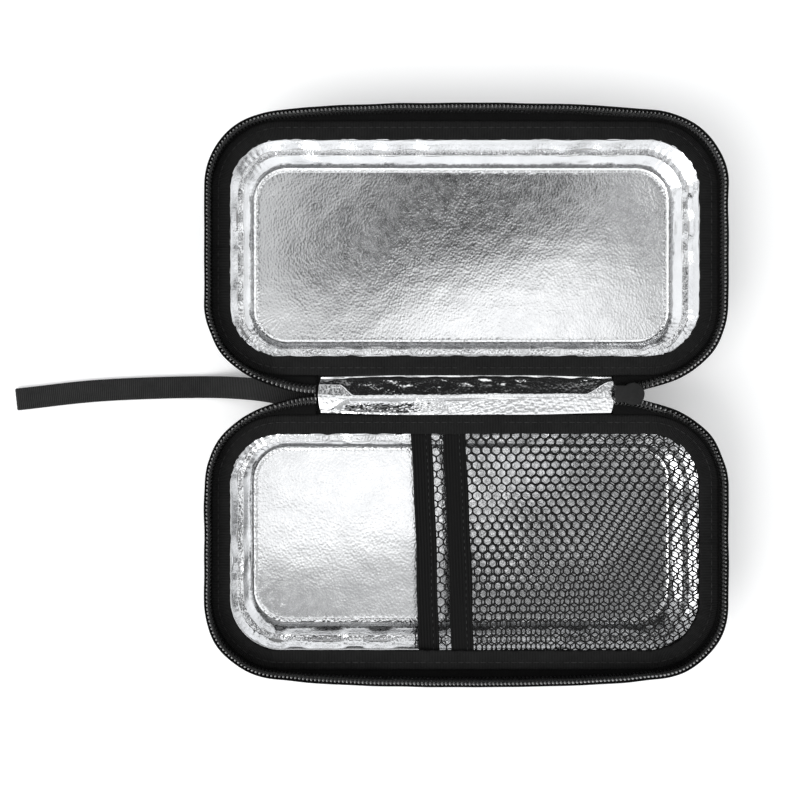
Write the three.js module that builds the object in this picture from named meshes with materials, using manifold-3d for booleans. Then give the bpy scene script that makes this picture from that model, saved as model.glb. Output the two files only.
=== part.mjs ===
// Insulin cooling case: a zipped clamshell lying open, with two foil lined trays, drawn in millimetres.
// The origin is the centre of the base's flat underside. +X runs along the case, +Y to the hinge, +Z up.
import * as THREE from 'three';
import { mergeVertices } from 'three/addons/utils/BufferGeometryUtils.js';
import Module from 'manifold-3d';

const wasm = await Module();
wasm.setup();

// Tray opening inside the binding, seen from above
const openingLength = 181;
const openingWidth = 83.5;
const openingCorner = 19.6;
const cornerSteps = 6;

// One half, from its underside to its rim, and the layers of its wall
const halfHeight = 26;
const coverThickness = 0.9;
const foamThickness = 2.6;
const foilThickness = 0.5;
const clearance = 0.3;

// Tray wall: it draws in on the way down, over a small ledge, into a rounded floor
const upperDraft = 1.6;
const ledgeHeight = 14;
const ledgeWidth = 1.4;
const ledgeDrop = 1;
const lowerDraft = 0.8;
const floorFillet = 3;
const filletSteps = 2;

// Rim: the flange and the folded ribbon that binds it
const rimWidth = 7;
const bindingThickness = 0.8;
const bindingDepth = 2.6;
const bindingRound = 0.3;

// Zipper halves: they stand on the rims, lean out along the far sides and lie down at the hinge
const tapeHeight = 8;
const tapeThickness = 0.6;
const coilThickness = 1.9;
const coilDepth = 3.4;
const coilSetback = 0.15;
const shortSideLean = 0.8;
const farSideLean = 4.65;
const leanPower = 0.6;
const farSideSteps = 8;
const standingEndAngle = 60;
const flatTilt = 86;
const tapeEndGap = 0.6;
const meetingGap = 0.35;
const meetingSpread = 0.0123;
const endSteps = 5;
const freeEndRise = { beforeCorner: 9.1, afterEnd: 1.3 };
const sliderEndRise = { beforeCorner: 11.1, afterEnd: 0.25 };

// Hinge strip between the two rims, as long as the foil that shows on it
const spineWidth = 16;
const spineSetback = 14.2;
const spineFoamThickness = 1.3;

// Net pocket of the base: two layers, each with an elastic band along its free edge
const netThickness = 0.5;
const elasticThickness = 0.7;
const netPitchX = 7.8;
const netPitchY = 11.8;
const netStrand = 1.5;
const netBorder = 1.2;
const rearElasticX = -12.3;
const rearElasticWidth = 8;
const frontElasticX = 0.9;
const frontElasticWidth = 8.7;
const elasticSlant = 0.037;

// Zipper slider: two keyhole plates, a wedge between them and a bail for the pull tab
const sliderGap = 1.4;
const sliderNeckLength = 5.8;
const sliderNeckWidth = 6.6;
const sliderBulgeRadius = 4.35;
const sliderPlate = 1;
const wedgeLength = 3;
const wedgeWidth = 1.2;
const bailSpan = 6.2;
const bailWidth = 2;
const bailBar = 0.8;
const bailDrop = 2.1;

// Pull tab, hanging from the bail
const tabLength = 20;
const tabWidth = 7;
const tabThickness = 1.4;
const tabBar = 1.1;
const tabWindowWidth = 2.8;
const tabWindowLength = 4.1;

// Wrist strap: one ribbon folded to a double layer, from the hinge's left end down to the table,
// with its route seen from above, counted from its root
const strapWidth = 9;
const strapThickness = 0.75;
const strapLayerGap = 0.35;
const strapRootLength = 8;
const strapRootOverhang = 1.3;
const strapTableGap = 0.1;
const strapSteps = 16;
const strapFoldSteps = 6;
const strapLanding = 48.8;
const strapRoute = [
  [0, 0],
  [-8.8, 0.2],
  [-24.8, 2.4],
  [-48.8, 3.3],
  [-88.8, 1.9],
  [-122.6, -1.7],
];

// Sizes that follow from the ones above
const wallThickness = coverThickness + foamThickness + foilThickness + 2 * clearance;
const coverInside = wallThickness - coverThickness;
const seamReach = coverInside - clearance;
const cornerCentreX = openingLength / 2 - openingCorner;
const cornerCentreY = openingWidth / 2 - openingCorner;
const rimHalfWidth = openingWidth / 2 + rimWidth;
const armBottom = halfHeight - bindingThickness;
const webBottom = halfHeight - bindingDepth;
const flangeTop = webBottom - clearance;
const flangeBottom = flangeTop - coverThickness;
const frontNetZ = armBottom - clearance - elasticThickness;
const rearNetZ = frontNetZ - clearance - netThickness;
const spineCentreY = rimHalfWidth + spineWidth / 2;
const tapeOffset = rimWidth + clearance;
const coilReach = clearance + coilThickness;
const spineLength = 2 * (cornerCentreX - spineSetback);
const tapeEndX = spineLength / 2 + tapeEndGap;
const sliderNeckX = spineLength / 2 + sliderGap;
const sliderBulgeX = sliderNeckX + sliderNeckLength;
const sliderEndX = sliderBulgeX + sliderBulgeRadius;
const strapRootEndX = -spineLength / 2 - strapRootOverhang;
const strapDoubled = 2 * strapThickness + strapLayerGap;
const strapZ = flangeBottom - clearance - strapDoubled / 2;
const strapPivotX = strapRootEndX - clearance - strapDoubled / 2;

// Where the soft tapes start to lie down, past the corner's start, and where they are flat
const freeEndRamp = {
  from: cornerCentreX + freeEndRise.beforeCorner,
  to: tapeEndX - freeEndRise.afterEnd,
};
const sliderEndRamp = {
  from: cornerCentreX + sliderEndRise.beforeCorner,
  to: sliderEndX + sliderEndRise.afterEnd,
};

// Colours and finishes seen in the photograph
const fabricBlack = { color: 0x17171a, roughness: 0.85, metalness: 0 };
const ribbonBlack = { color: 0x1b1b1e, roughness: 0.7, metalness: 0 };
const tapeBlack = { color: 0x111113, roughness: 0.8, metalness: 0 };
const coilBlack = { color: 0x1d1d20, roughness: 0.35, metalness: 0 };
const foilSilver = { color: 0xd5d6d8, roughness: 0.22, metalness: 1 };
const foamGrey = { color: 0x8a8a8c, roughness: 0.9, metalness: 0 };
const netBlack = { color: 0x0e0e10, roughness: 0.6, metalness: 0 };
const sliderGrey = { color: 0x2b2b2d, roughness: 0.45, metalness: 0.3 };

const quarterTurn = 90;
const radians = THREE.MathUtils.degToRad;
const point = (x, y, z) => new THREE.Vector3(x, y, z);

function smooth(t) {
  const s = THREE.MathUtils.clamp(t, 0, 1);
  return s * s * (3 - 2 * s);
}

// A closed body's faces point out when its signed volume is positive
function facingOut(positions, index) {
  const at = (i) => point(positions[3 * i], positions[3 * i + 1], positions[3 * i + 2]);
  let volume = 0;
  for (let i = 0; i < index.length; i += 3) {
    volume += at(index[i]).dot(at(index[i + 1]).cross(at(index[i + 2])));
  }
  return volume > 0 ? index : index.toReversed();
}

function solid(positions, index) {
  const geometry = new THREE.BufferGeometry();
  geometry.setAttribute('position', new THREE.Float32BufferAttribute(positions, 3));
  geometry.setIndex(facingOut(positions, index));
  return geometry;
}

// Joins rings of equally many points into one body, closed into a loop or capped at both ends
function skin(rings, loop = false) {
  const count = rings[0].length;
  const positions = rings.flat().flatMap((p) => [p.x, p.y, p.z]);
  const index = [];
  const quad = (a, b, c, d) => index.push(a, b, c, a, c, d);
  const spans = loop ? rings.length : rings.length - 1;
  for (let ring = 0; ring < spans; ring += 1) {
    const here = ring * count;
    const next = ((ring + 1) % rings.length) * count;
    for (let i = 0; i < count; i += 1) {
      const j = (i + 1) % count;
      quad(here + i, here + j, next + j, next + i);
    }
  }
  if (!loop) {
    const last = (rings.length - 1) * count;
    for (let i = 0; i < count / 2 - 1; i += 1) {
      const far = count - 1 - i;
      quad(i, far, far - 1, i + 1);
      quad(last + i, last + i + 1, last + far - 1, last + far);
    }
  }
  return solid(positions, index);
}

function mesh(name, geometry, finish) {
  const body = new THREE.Mesh(geometry, new THREE.MeshStandardMaterial(finish));
  body.name = name;
  return body;
}

// The opening's outline, grown outwards by an offset
function outlineRing(offset, z) {
  const radius = openingCorner + offset;
  const ring = [];
  for (let corner = 0; corner < 4; corner += 1) {
    const centreX = corner === 0 || corner === 3 ? cornerCentreX : -cornerCentreX;
    const centreY = corner < 2 ? cornerCentreY : -cornerCentreY;
    for (let step = 0; step <= cornerSteps; step += 1) {
      const angle = (corner + step / cornerSteps) * Math.PI / 2;
      ring.push(point(centreX + radius * Math.cos(angle), centreY + radius * Math.sin(angle), z));
    }
  }
  return ring;
}

const swept = (profile, loop) => skin(profile.map(([offset, z]) => outlineRing(offset, z)), loop);

// A tray surface that lies a given depth outside the foil's inner face, from the rim to the floor
function traySurface(depth, top) {
  const wallFoot = depth - upperDraft - ledgeWidth - lowerDraft;
  const fillet = floorFillet + depth;
  const filletCentreZ = wallThickness + floorFillet;
  const profile = [
    [depth, top],
    [depth - upperDraft, ledgeHeight + ledgeDrop],
    [depth - upperDraft - ledgeWidth, ledgeHeight],
  ];
  for (let step = 0; step <= filletSteps; step += 1) {
    const angle = step / filletSteps * Math.PI / 2;
    profile.push([wallFoot - fillet * (1 - Math.cos(angle)), filletCentreZ - fillet * Math.sin(angle)]);
  }
  return profile;
}

function layer(outerDepth, innerDepth, top, rim = []) {
  const outer = traySurface(outerDepth, rim.length > 0 ? rim[0][1] : top);
  const inner = traySurface(innerDepth, top);
  return swept([...outer.reverse(), ...rim, ...inner]);
}

function coverShell() {
  const rim = [[rimWidth, flangeBottom], [rimWidth, flangeTop]];
  return layer(wallThickness, coverInside, flangeTop, rim);
}

function foamCore(top) {
  return layer(seamReach, foilThickness + clearance, top);
}

function foilLiner(top) {
  const rim = [[seamReach, top - foilThickness], [seamReach, top]];
  return layer(foilThickness, 0, top, rim);
}

function rimBinding() {
  return swept([
    [0, armBottom],
    [0, halfHeight - bindingRound],
    [bindingRound, halfHeight],
    [rimWidth - bindingRound, halfHeight],
    [rimWidth, halfHeight - bindingRound],
    [rimWidth, webBottom],
    [coverInside, webBottom],
    [coverInside, armBottom],
  ], true);
}

// A place on the rim's outer edge: where the tape stands, which way is out, and how it leans
function station(x, y, outX, outY, tilt, height) {
  return { x, y, outX, outY, tilt, height };
}

function cornerStation(signX, signY, angle, tilt, height = tapeHeight) {
  const radius = openingCorner + tapeOffset;
  const outX = signX * Math.cos(radians(angle));
  const outY = signY * Math.sin(radians(angle));
  const x = signX * cornerCentreX + radius * outX;
  const y = signY * cornerCentreY + radius * outY;
  return station(x, y, outX, outY, tilt, height);
}

// A point of the leaning tape: along it from the rim up, and across it outwards
function tapePoint(s, along, across) {
  const out = along * Math.sin(s.tilt) + across * Math.cos(s.tilt);
  const up = along * Math.cos(s.tilt) - across * Math.sin(s.tilt);
  return point(s.x + s.outX * out, s.y + s.outY * out, halfHeight + up);
}

function sewnPoint(s, across) {
  return point(s.x + s.outX * across, s.y + s.outY * across, flangeBottom);
}

// The coil ends just short of the tape's edge, and stays under the plane where the closed halves meet
function coilTop(s) {
  const underMeeting = (tapeHeight - coilSetback - coilReach * Math.sin(s.tilt)) / Math.cos(s.tilt);
  return Math.min(s.height - coilSetback, underMeeting);
}

// The tape has a row of points level with the coil's foot, so that both bend along the same lines
const coilFoot = (s) => coilTop(s) - coilDepth;

const tapeSection = (s) => [
  sewnPoint(s, 0),
  tapePoint(s, 0, 0),
  tapePoint(s, coilFoot(s), 0),
  tapePoint(s, s.height, 0),
  tapePoint(s, s.height, tapeThickness),
  tapePoint(s, coilFoot(s), tapeThickness),
  tapePoint(s, 0, tapeThickness),
  sewnPoint(s, tapeThickness),
];

const coilSection = (s) => [
  tapePoint(s, coilFoot(s), -clearance),
  tapePoint(s, coilTop(s), -clearance),
  tapePoint(s, coilTop(s), -coilReach),
  tapePoint(s, coilFoot(s), -coilReach),
];

const standingTilt = Math.asin(shortSideLean / tapeHeight);

// The stretch that stands: from beside the hinge round the three zipped sides to the hinge again
function standingStations() {
  const stations = [];
  const cornerStep = quarterTurn / cornerSteps;
  for (let angle = standingEndAngle; angle >= 0; angle -= cornerStep) {
    stations.push(cornerStation(1, 1, angle, standingTilt));
  }
  for (let angle = 0; angle < quarterTurn; angle += cornerStep) {
    stations.push(cornerStation(1, -1, angle, standingTilt));
  }
  for (let step = 0; step <= farSideSteps; step += 1) {
    const share = 1 - 2 * step / farSideSteps;
    const bulge = (1 - share * share) ** leanPower;
    const lean = shortSideLean + (farSideLean - shortSideLean) * bulge;
    const tilt = Math.asin(lean / tapeHeight);
    const y = -cornerCentreY - openingCorner - tapeOffset;
    stations.push(station(cornerCentreX * share, y, 0, -1, tilt, tapeHeight));
  }
  for (let angle = quarterTurn - cornerStep; angle >= 0; angle -= cornerStep) {
    stations.push(cornerStation(-1, -1, angle, standingTilt));
  }
  for (let angle = 0; angle <= standingEndAngle; angle += cornerStep) {
    stations.push(cornerStation(-1, 1, angle, standingTilt));
  }
  return stations;
}

// How far a tape's edge may reach towards the hinge's centre line before it meets the other tape
function edgeReach(x, y) {
  const spread = meetingGap + meetingSpread * (Math.abs(x) - tapeEndX) ** 2;
  return rimHalfWidth + spineWidth / 2 - spread - y;
}

function settle(s, ramp) {
  const share = (ramp.from - Math.abs(s.x)) / (ramp.from - ramp.to);
  const tilt = standingTilt + (radians(flatTilt) - standingTilt) * smooth(share);
  const height = Math.min(tapeHeight, edgeReach(s.x, s.y) / (Math.sin(tilt) * s.outY));
  return { ...s, tilt, height };
}

// The soft stretch near the hinge, where the tape lies down towards the spine's end
function endStations(signX, ramp) {
  const seamAngle = THREE.MathUtils.radToDeg(clearance / (openingCorner + tapeOffset));
  const cornerStep = quarterTurn / cornerSteps;
  const stations = [cornerStation(signX, 1, standingEndAngle + seamAngle, standingTilt)];
  for (let angle = standingEndAngle + cornerStep / 2; angle <= quarterTurn; angle += cornerStep / 2) {
    stations.push(cornerStation(signX, 1, angle, standingTilt));
  }
  const y = cornerCentreY + openingCorner + tapeOffset;
  for (let step = 1; step <= endSteps; step += 1) {
    const x = cornerCentreX + (tapeEndX - cornerCentreX) * step / endSteps;
    stations.push(station(signX * x, y, 0, 1, standingTilt, tapeHeight));
  }
  return stations.map((s) => settle(s, ramp));
}

// One half with everything that is sewn to its rim; linerTop leaves room for what the rim also holds
function buildHalf(name, linerTop, ends) {
  const half = new THREE.Group();
  const standing = standingStations();
  half.add(mesh(`${name}_outer_cover`, coverShell(), fabricBlack));
  half.add(mesh(`${name}_insulation_foam`, foamCore(linerTop - foilThickness - clearance), foamGrey));
  half.add(mesh(`${name}_foil_liner`, foilLiner(linerTop), foilSilver));
  half.add(mesh(`${name}_rim_binding`, rimBinding(), ribbonBlack));
  half.add(mesh(`${name}_zipper_tape`, skin(standing.map(tapeSection)), tapeBlack));
  half.add(mesh(`${name}_zipper_coil`, skin(standing.map(coilSection)), coilBlack));
  for (const end of ends) {
    const stations = endStations(end.signX, end.ramp);
    half.add(mesh(`${name}_tape_end_${end.side}`, skin(stations.map(tapeSection)), tapeBlack));
    half.add(mesh(`${name}_coil_end_${end.side}`, skin(stations.map(coilSection)), coilBlack));
  }
  return half;
}

// X of a slanted elastic band's edge at a given Y, from its place at the hinge side of the opening
const slantedX = (x, y) => x + (openingWidth / 2 - y) * elasticSlant;

// The right part of the tray's outline at the seam, left open where the elastic band closes it
function pocketShape(edgeX) {
  const seamY = openingWidth / 2 + seamReach;
  const radius = openingCorner + seamReach;
  const shape = new THREE.Shape();
  shape.moveTo(slantedX(edgeX, seamY), seamY);
  shape.lineTo(slantedX(edgeX, -seamY), -seamY);
  shape.lineTo(cornerCentreX, -seamY);
  for (const [centreY, start] of [[-cornerCentreY, -quarterTurn], [cornerCentreY, 0]]) {
    for (let step = 0; step <= cornerSteps; step += 1) {
      const angle = radians(start + quarterTurn * step / cornerSteps);
      shape.lineTo(cornerCentreX + radius * Math.cos(angle), centreY + radius * Math.sin(angle));
    }
  }
  return shape;
}

function insidePocket(x, y, edgeX) {
  const margin = openingCorner - netBorder;
  const overX = x - cornerCentreX;
  const overY = Math.abs(y) - cornerCentreY;
  if (x < slantedX(edgeX, y) + netBorder || overY > margin || overX > margin) {
    return false;
  }
  return overX < 0 || overY < 0 || Math.hypot(overX, overY) < margin;
}

function toManifold(geometry) {
  const bare = geometry.clone();
  bare.deleteAttribute('normal');
  bare.deleteAttribute('uv');
  const merged = mergeVertices(bare);
  const vertProperties = new Float32Array(merged.attributes.position.array);
  const triVerts = new Uint32Array(merged.index.array);
  return new wasm.Manifold(new wasm.Mesh({ numProp: 3, vertProperties, triVerts }));
}

function fromManifold(body) {
  const result = body.getMesh();
  return solid(Array.from(result.vertProperties), Array.from(result.triVerts));
}

const joined = (geometries) => fromManifold(geometries.map(toManifold).reduce((a, b) => a.add(b)));

// The diamond gaps of a net in staggered rows, whole gaps only
function netGaps(edgeX) {
  const shrink = 1 - netStrand * Math.hypot(netPitchX, netPitchY) / (netPitchX * netPitchY);
  const halfX = netPitchX / 2 * shrink;
  const halfY = netPitchY / 2 * shrink;
  const rows = Math.ceil(openingWidth / netPitchY);
  const columns = Math.ceil(openingLength / netPitchX);
  const gaps = [];
  for (let row = -rows; row <= rows; row += 1) {
    for (let column = -columns; column <= columns; column += 1) {
      const x = (column + (row % 2 === 0 ? 0 : 0.5)) * netPitchX;
      const y = row * netPitchY / 2;
      const tips = [[x - halfX, y], [x, y - halfY], [x + halfX, y], [x, y + halfY]];
      if (tips.every(([tipX, tipY]) => insidePocket(tipX, tipY, edgeX))) {
        gaps.push(new THREE.Shape(tips.map(([tipX, tipY]) => new THREE.Vector2(tipX, tipY))));
      }
    }
  }
  return gaps;
}

function net(edgeX, z) {
  const sheet = toManifold(plate(pocketShape(edgeX), netThickness, z));
  const gaps = toManifold(plate(netGaps(edgeX), 3 * netThickness, z - netThickness));
  return fromManifold(sheet.subtract(gaps));
}

function elasticShape(edgeX, width) {
  const seamY = openingWidth / 2 + seamReach;
  const right = edgeX - clearance;
  const corners = [[right, seamY], [right - width, seamY], [right - width, -seamY], [right, -seamY]];
  return new THREE.Shape(corners.map(([x, y]) => new THREE.Vector2(slantedX(x, y), y)));
}

function plate(shape, thickness, z) {
  const geometry = new THREE.ExtrudeGeometry(shape, { depth: thickness, bevelEnabled: false });
  geometry.translate(0, 0, z);
  geometry.deleteAttribute('normal');
  geometry.deleteAttribute('uv');
  return mergeVertices(geometry);
}

function buildPocket() {
  const pocket = new THREE.Group();
  pocket.add(mesh('rear_net', net(rearElasticX, rearNetZ), netBlack));
  pocket.add(mesh('front_net', net(frontElasticX, frontNetZ), netBlack));
  const rearBand = plate(elasticShape(rearElasticX, rearElasticWidth), elasticThickness, rearNetZ);
  const frontBand = plate(elasticShape(frontElasticX, frontElasticWidth), elasticThickness, frontNetZ);
  pocket.add(mesh('rear_elastic_band', rearBand, ribbonBlack));
  pocket.add(mesh('front_elastic_band', frontBand, ribbonBlack));
  return pocket;
}

function box(sizeX, sizeY, sizeZ, x, y, z) {
  const geometry = new THREE.BoxGeometry(sizeX, sizeY, sizeZ);
  geometry.translate(x, y, z);
  return geometry;
}

// The hinge strip's layers, from the outer fabric up to the foil
function buildSpine() {
  const spine = new THREE.Group();
  const width = spineWidth - 2 * clearance;
  const coverZ = flangeBottom + coverThickness / 2;
  const foamZ = flangeTop + clearance + spineFoamThickness / 2;
  const foilZ = foamZ + spineFoamThickness / 2 + clearance + foilThickness / 2;
  const strip = (thickness, z) => box(spineLength, width, thickness, 0, 0, z);
  spine.add(mesh('hinge_outer_cover', strip(coverThickness, coverZ), fabricBlack));
  spine.add(mesh('hinge_foam_strip', strip(spineFoamThickness, foamZ), foamGrey));
  spine.add(mesh('hinge_foil_strip', strip(foilThickness, foilZ), foilSilver));
  return spine;
}

function keyhole() {
  const shape = new THREE.Shape();
  const neck = sliderNeckWidth / 2;
  const start = Math.asin(neck / sliderBulgeRadius);
  shape.moveTo(sliderNeckX, -neck);
  shape.absarc(sliderBulgeX, 0, sliderBulgeRadius, Math.PI + start, 3 * Math.PI - start, false);
  shape.lineTo(sliderNeckX, neck);
  return shape;
}

// The slider's plates lie just under the flat tapes and just over the coils
const channelBottom = halfHeight - tapeThickness - clearance;
const flatRise = tapeHeight * Math.cos(radians(flatTilt));
const channelTop = halfHeight + flatRise + clearance + coilThickness + clearance;
const plateBottom = channelBottom - sliderPlate;
const bailX = (sliderNeckX + sliderEndX) / 2;
const tabPivotZ = plateBottom - bailDrop / 2;

function sliderBody() {
  const channel = channelTop - channelBottom;
  const wedgeX = sliderEndX - wedgeLength / 2 - clearance;
  const wedge = box(wedgeLength, wedgeWidth, channel + sliderPlate, wedgeX, 0, channelBottom + channel / 2);
  const legHeight = bailDrop + bailBar + sliderPlate / 2;
  const legZ = plateBottom + sliderPlate / 2 - legHeight / 2;
  const legX = (bailSpan - bailBar) / 2;
  const leftLeg = box(bailBar, bailWidth, legHeight, bailX - legX, 0, legZ);
  const rightLeg = box(bailBar, bailWidth, legHeight, bailX + legX, 0, legZ);
  const bridge = box(bailSpan, bailWidth, bailBar, bailX, 0, plateBottom - bailDrop - bailBar / 2);
  const lower = plate(keyhole(), sliderPlate, plateBottom);
  const upper = plate(keyhole(), sliderPlate, channelTop);
  return joined([lower, upper, wedge, leftLeg, rightLeg, bridge]);
}

// The tab is drawn flat with its pivot at the origin, then stood on end under the bail
function pullTab() {
  const half = tabWidth / 2;
  const shape = new THREE.Shape();
  shape.moveTo(-half, tabBar / 2);
  shape.lineTo(-half, half - tabLength);
  shape.absarc(0, half - tabLength, half, Math.PI, 2 * Math.PI, false);
  shape.lineTo(half, tabBar / 2);
  const window = new THREE.Path();
  const side = tabWindowWidth / 2;
  window.moveTo(-side, -tabBar / 2);
  window.lineTo(side, -tabBar / 2);
  window.lineTo(side, -tabWindowLength);
  window.lineTo(-side, -tabWindowLength);
  window.closePath();
  shape.holes.push(window);
  const tab = plate(shape, tabThickness, -tabThickness / 2);
  tab.rotateX(Math.PI / 2);
  tab.rotateZ(Math.PI / 2);
  return tab.translate(bailX, 0, tabPivotZ);
}

// The strap's middle line: out from the hinge, down to the table and along it
function strapLine(share) {
  const route = new THREE.CatmullRomCurve3(strapRoute.map(([x, y]) => point(strapPivotX + x, y, 0)));
  const at = route.getPoint(share);
  const fall = smooth((strapPivotX - at.x) / strapLanding);
  at.z = strapZ + (strapDoubled / 2 + strapTableGap - strapZ) * fall;
  return at;
}

// Frames along the middle line: which way it runs, its sideways and its upward direction
function strapFrame(share) {
  const nudge = 0.001;
  const ahead = strapLine(Math.min(share + nudge, 1));
  const along = ahead.sub(strapLine(Math.max(share - nudge, 0))).normalize();
  const sideways = point(-along.y, along.x, 0).normalize();
  const up = along.clone().cross(sideways);
  up.multiplyScalar(Math.sign(up.z));
  return { at: strapLine(share), along, sideways, up };
}

// The ribbon runs out as the upper layer, folds over and comes back as the lower one
function strapLoop() {
  const layerOffset = (strapThickness + strapLayerGap) / 2;
  const rings = [];
  const addSection = (frame, angle) => {
    const lift = frame.up.clone().multiplyScalar(Math.cos(angle));
    const out = lift.addScaledVector(frame.along, Math.sin(angle));
    const corner = (side, depth) => frame.at.clone()
      .addScaledVector(frame.sideways, side * strapWidth / 2)
      .addScaledVector(out, layerOffset + depth * strapThickness / 2);
    rings.push([corner(-1, 1), corner(1, 1), corner(1, -1), corner(-1, -1)]);
  };
  for (let step = 0; step <= strapSteps; step += 1) {
    addSection(strapFrame(step / strapSteps), 0);
  }
  for (let step = 1; step < strapFoldSteps; step += 1) {
    addSection(strapFrame(1), step / strapFoldSteps * Math.PI);
  }
  for (let step = strapSteps; step >= 0; step -= 1) {
    addSection(strapFrame(step / strapSteps), Math.PI);
  }
  for (let step = 1; step < strapFoldSteps; step += 1) {
    addSection(strapFrame(0), Math.PI + step / strapFoldSteps * Math.PI);
  }
  return skin(rings, true);
}

function strapRoot() {
  const x = strapRootEndX + strapRootLength / 2;
  return box(strapRootLength, strapWidth, strapDoubled, x, 0, strapZ);
}

// The lid is the same half turned round, so its left side is the right side as it is built
const baseEnds = [
  { side: 'left', signX: -1, ramp: freeEndRamp },
  { side: 'right', signX: 1, ramp: sliderEndRamp },
];
const lidEnds = [
  { side: 'left', signX: 1, ramp: freeEndRamp },
  { side: 'right', signX: -1, ramp: sliderEndRamp },
];

const base = buildHalf('base', rearNetZ - clearance, baseEnds);
base.add(buildPocket());

const lid = buildHalf('lid', armBottom - clearance, lidEnds);
lid.position.set(0, 2 * spineCentreY, 0);
lid.rotation.z = Math.PI;

const hinge = buildSpine();
hinge.position.y = spineCentreY;
hinge.add(mesh('zipper_slider', sliderBody(), sliderGrey));
hinge.add(mesh('zipper_pull_tab', pullTab(), sliderGrey));
hinge.add(mesh('wrist_strap', strapLoop(), ribbonBlack));
hinge.add(mesh('wrist_strap_root', strapRoot(), ribbonBlack));

const insulinCoolingCase = new THREE.Group();
insulinCoolingCase.add(base, lid, hinge);

export default insulinCoolingCase;
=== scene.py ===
import math
from functools import cached_property

import bmesh
import bpy
import numpy as np
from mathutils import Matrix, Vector
from mathutils.geometry import delaunay_2d_cdt


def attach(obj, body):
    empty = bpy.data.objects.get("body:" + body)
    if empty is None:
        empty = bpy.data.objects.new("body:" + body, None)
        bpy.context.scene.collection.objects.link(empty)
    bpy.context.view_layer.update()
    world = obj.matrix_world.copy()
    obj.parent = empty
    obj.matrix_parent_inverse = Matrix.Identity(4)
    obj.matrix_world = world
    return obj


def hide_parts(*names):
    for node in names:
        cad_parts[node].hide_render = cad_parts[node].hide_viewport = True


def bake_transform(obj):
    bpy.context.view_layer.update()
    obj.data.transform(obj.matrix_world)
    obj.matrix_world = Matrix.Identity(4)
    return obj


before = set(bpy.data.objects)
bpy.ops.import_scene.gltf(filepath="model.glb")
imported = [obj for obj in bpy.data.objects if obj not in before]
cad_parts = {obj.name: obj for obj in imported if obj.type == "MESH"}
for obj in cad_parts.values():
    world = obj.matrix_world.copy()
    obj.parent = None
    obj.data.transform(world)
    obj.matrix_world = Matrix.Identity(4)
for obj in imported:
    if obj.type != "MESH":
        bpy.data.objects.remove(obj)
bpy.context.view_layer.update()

# Every length below is in millimetres, and MM turns it into Blender's metres
MM = 0.001

# Sizes of a half, as in the CAD source. Its middle is at the origin, and its outline is measured at the foil
HALF_LENGTH = 90.5
HALF_WIDTH = 41.75
CORNER = 19.6
CENTRE_X = HALF_LENGTH - CORNER
CENTRE_Y = HALF_WIDTH - CORNER
RIM_WIDTH = 7.0
RIM_Z = 26.0
WALL = 4.6
FLANGE_BOTTOM = 22.2
FLANGE_TOP = 23.1
RIM_EDGE_Y = HALF_WIDTH + RIM_WIDTH

# The hinge strip
SPINE_WIDTH = 16.0
SPINE_HALF_LENGTH = 56.7
SPINE_Y = RIM_EDGE_Y + SPINE_WIDTH / 2

# The zipper: its tape stands on the rim, and its coil is sewn to the tape's inner face near the top
TAPE_OFFSET = RIM_WIDTH + 0.3
TAPE_HEIGHT = 8.0
TAPE_THICKNESS = 0.6
TAPE_END_X = 57.3
COIL_GAP = 0.08
COIL_THICKNESS = 1.9
COIL_DEPTH = 3.4
COIL_SETBACK = 0.15
COIL_PITCH = 1.5

# The slider's bail, on which the pull tab swings
BAIL_X = 63.175
BAIL_Z = 23.05

# Where the strap leaves the hinge strip
STRAP_PIVOT_X = -59.225
STRAP_Z = 20.975

# The film's face is drawn in to this distance from the outline at the floor
FLOOR_EDGE = -13.0

# The camera looks straight down from the photograph's height
PHOTO_WIDTH = 800
FOCAL_PIXELS = 927
SHIFT_PIXELS = -3
SENSOR_WIDTH = 36.0
CAMERA_PLACE = (-25.0, 55.98, 383.0)

camera_data = bpy.data.cameras.new("camera")
camera_data.sensor_width = SENSOR_WIDTH
camera_data.lens = SENSOR_WIDTH * FOCAL_PIXELS / PHOTO_WIDTH
camera_data.shift_y = SHIFT_PIXELS / PHOTO_WIDTH
camera_data.clip_start = 10 * MM
camera = bpy.data.objects.new("camera", camera_data)
camera.location = Vector(CAMERA_PLACE) * MM
bpy.context.scene.collection.objects.link(camera)
bpy.context.scene.camera = camera


# Materials

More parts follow.
